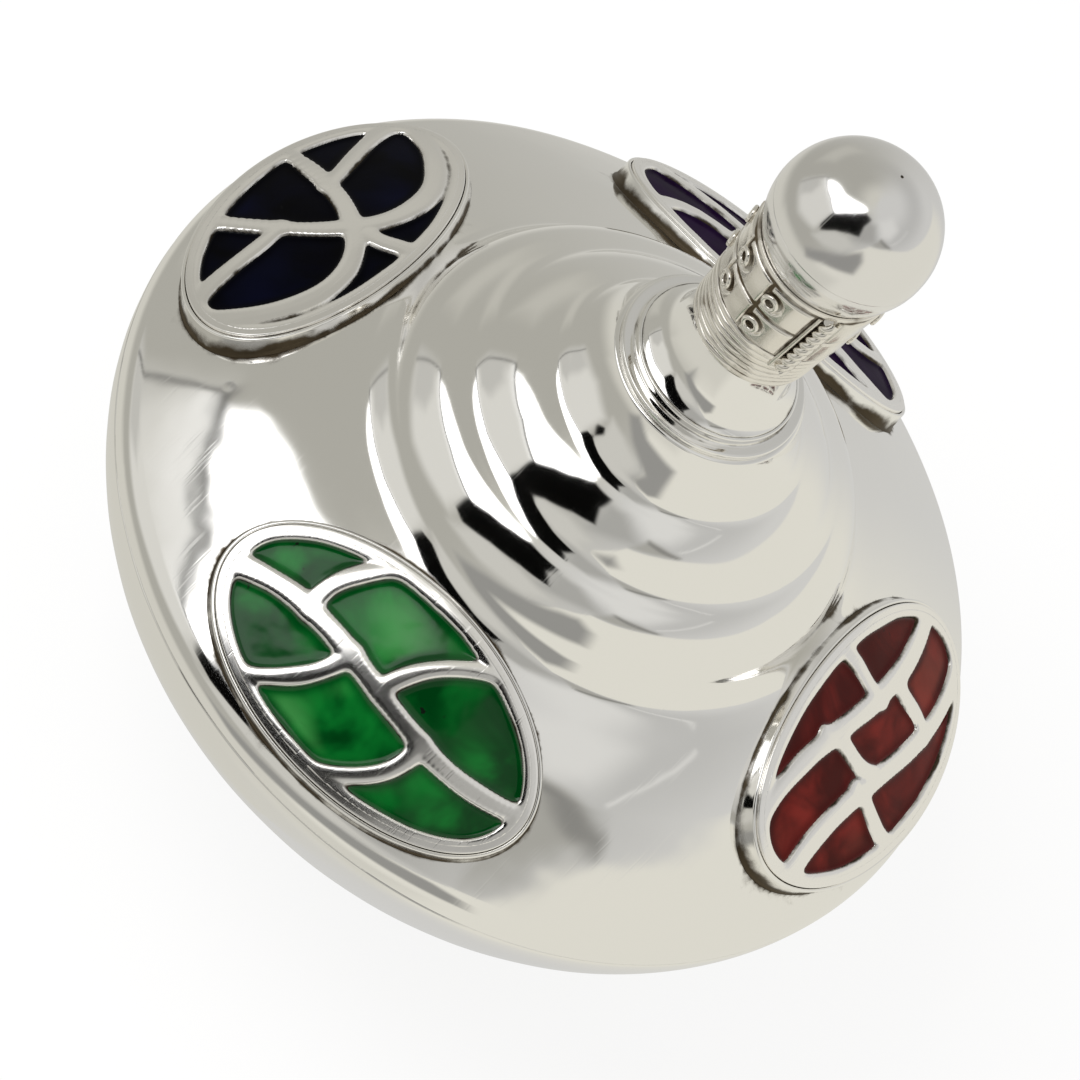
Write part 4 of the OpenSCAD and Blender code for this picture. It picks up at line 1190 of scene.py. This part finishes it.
# %% Build the tent and its light
TENT_R = 0.195
TENT_TURNS, TENT_LIFTS = 720, 300
turns, lifts = np.meshgrid(np.linspace(-180, 180, TENT_TURNS, endpoint=False),
                           np.linspace(-89.9, 89.9, TENT_LIFTS))
turns, lifts = turns.ravel(), lifts.ravel()
a, e = np.radians(turns), np.radians(lifts)
tent_points = TENT_R * np.stack([np.cos(e) * np.cos(a), np.cos(e) * np.sin(a), np.sin(e)], 1)
tent_points = tent_points + (0, 0, BALL_Z * MM)
tent_mesh = bpy.data.meshes.new("tent")
tent_mesh.from_pydata(tent_points.tolist(), [], grid_faces(TENT_LIFTS, TENT_TURNS, close_rows=False))
paint = tent_mesh.color_attributes.new("cloth", "FLOAT_COLOR", "POINT")
colors = np.concatenate([tent_color(turns, lifts), np.ones((len(tent_points), 1))], 1)
paint.data.foreach_set("color", colors.ravel())
tent = bpy.data.objects.new("tent", tent_mesh)
scene.collection.objects.link(tent)
for kind in ("camera", "diffuse", "shadow", "transmission"):
    setattr(tent, "visible_" + kind, False)
cloth = bpy.data.materials.new("tent cloth")
cloth.use_nodes = True
tree = cloth.node_tree
tree.nodes.clear()
painted = node(tree, "ShaderNodeAttribute", attribute_name="cloth").outputs["Color"]
glow = node(tree, "ShaderNodeEmission", {"Color": painted, "Strength": 1.0})
tree.links.new(glow.outputs[0], node(tree, "ShaderNodeOutputMaterial").inputs[0])
tent_mesh.materials.append(cloth)
print("tent painted with", len(CARDS), "cards")

# %% [markdown]
# The floor is a plain white sheet. The camera sees it almost white, with only a trace of the
# soft shadow, as in a product photograph on white.

# %% Floor, world and lamp
FLOOR_HALF = 3
corners = [(-FLOOR_HALF, -FLOOR_HALF, 0), (FLOOR_HALF, -FLOOR_HALF, 0),
           (FLOOR_HALF, FLOOR_HALF, 0), (-FLOOR_HALF, FLOOR_HALF, 0)]
floor_mesh = bpy.data.meshes.new("floor")
floor_mesh.from_pydata(corners, [], [(0, 1, 2, 3)])
floor = bpy.data.objects.new("floor", floor_mesh)
scene.collection.objects.link(floor)
floor.visible_glossy = False
sheet = bpy.data.materials.new("white sheet")
sheet.use_nodes = True
tree = sheet.node_tree
tree.nodes.clear()
plain = node(tree, "ShaderNodeBsdfDiffuse", {"Color": (0.85, 0.85, 0.85, 1)})
bright = node(tree, "ShaderNodeEmission", {"Color": (1, 1, 1, 1), "Strength": 1.0})
seen = calc(tree, "MULTIPLY", node(tree, "ShaderNodeLightPath").outputs["Is Camera Ray"], 0.84)
mix = node(tree, "ShaderNodeMixShader", {0: seen, 1: plain.outputs[0], 2: bright.outputs[0]})
tree.links.new(mix.outputs[0], node(tree, "ShaderNodeOutputMaterial").inputs[0])
floor_mesh.materials.append(sheet)

world = bpy.data.worlds.new("white room")
scene.world = world
world.use_nodes = True
tree = world.node_tree
tree.nodes.clear()
room = node(tree, "ShaderNodeBackground", {"Color": (1.0, 0.985, 0.96, 1), "Strength": 0.85})
white = node(tree, "ShaderNodeBackground", {"Color": (1, 1, 1, 1), "Strength": 1.0})
seen = node(tree, "ShaderNodeLightPath").outputs["Is Camera Ray"]
mix = node(tree, "ShaderNodeMixShader", {0: seen, 1: room.outputs[0], 2: white.outputs[0]})
tree.links.new(mix.outputs[0], node(tree, "ShaderNodeOutputWorld").inputs[0])

lamp = bpy.data.lights.new("window lamp", "AREA")
lamp.shape, lamp.size, lamp.energy = "SQUARE", 0.25, 1.1
lamp_obj = bpy.data.objects.new("window lamp", lamp)
scene.collection.objects.link(lamp_obj)
lamp_obj.visible_glossy = False
LAMP_TURN, LAMP_LIFT, LAMP_AWAY = -150, 50, 0.4
a, e = math.radians(LAMP_TURN), math.radians(LAMP_LIFT)
toward = Vector((math.cos(e) * math.cos(a), math.cos(e) * math.sin(a), math.sin(e)))
lamp_obj.location = toward * LAMP_AWAY
lamp_obj.rotation_euler = toward.to_track_quat("Z", "Y").to_euler()

# %% [markdown]
# ## The camera
# The photograph looks down on the top from about 50 degrees, and the picture is turned so
# that the stem points to the upper right. The camera's axes are written out from these two
# angles, and its place follows from the distance and from the point that it aims at. The
# lens comes from the photograph too: its focal length, measured in pixels of the picture.

# %% Camera at the photograph's angle
LOOK_DOWN, ROLL = math.radians(50.1), math.radians(45)
DISTANCE, AIM_Z = 0.3, 0.0292
OFF_CENTRE_X, OFF_CENTRE_Y = 0.003652, 0.003647
FOCAL_PIXELS, PICTURE_PIXELS, SENSOR = 5068, 1080, 36
back = Vector((0, -math.cos(LOOK_DOWN), math.sin(LOOK_DOWN)))
stem_up = Vector((0, math.sin(LOOK_DOWN), math.cos(LOOK_DOWN)))
side = Vector((1, 0, 0))
right = side * math.cos(ROLL) + stem_up * math.sin(ROLL)
up = stem_up * math.cos(ROLL) - side * math.sin(ROLL)
place = Vector((0, 0, AIM_Z)) - right * OFF_CENTRE_X - up * OFF_CENTRE_Y + back * DISTANCE
camera = bpy.data.cameras.new("camera")
camera.sensor_width = SENSOR
camera.lens = SENSOR * FOCAL_PIXELS / PICTURE_PIXELS
camera.clip_start = 0.01
camera_obj = bpy.data.objects.new("camera", camera)
scene.collection.objects.link(camera_obj)
axes = Matrix((right, up, back)).transposed().to_4x4()
camera_obj.matrix_world = Matrix.Translation(place) @ axes
scene.camera = camera_obj
scene.view_settings.view_transform = "Standard"
print("camera at", tuple(round(c, 4) for c in place))
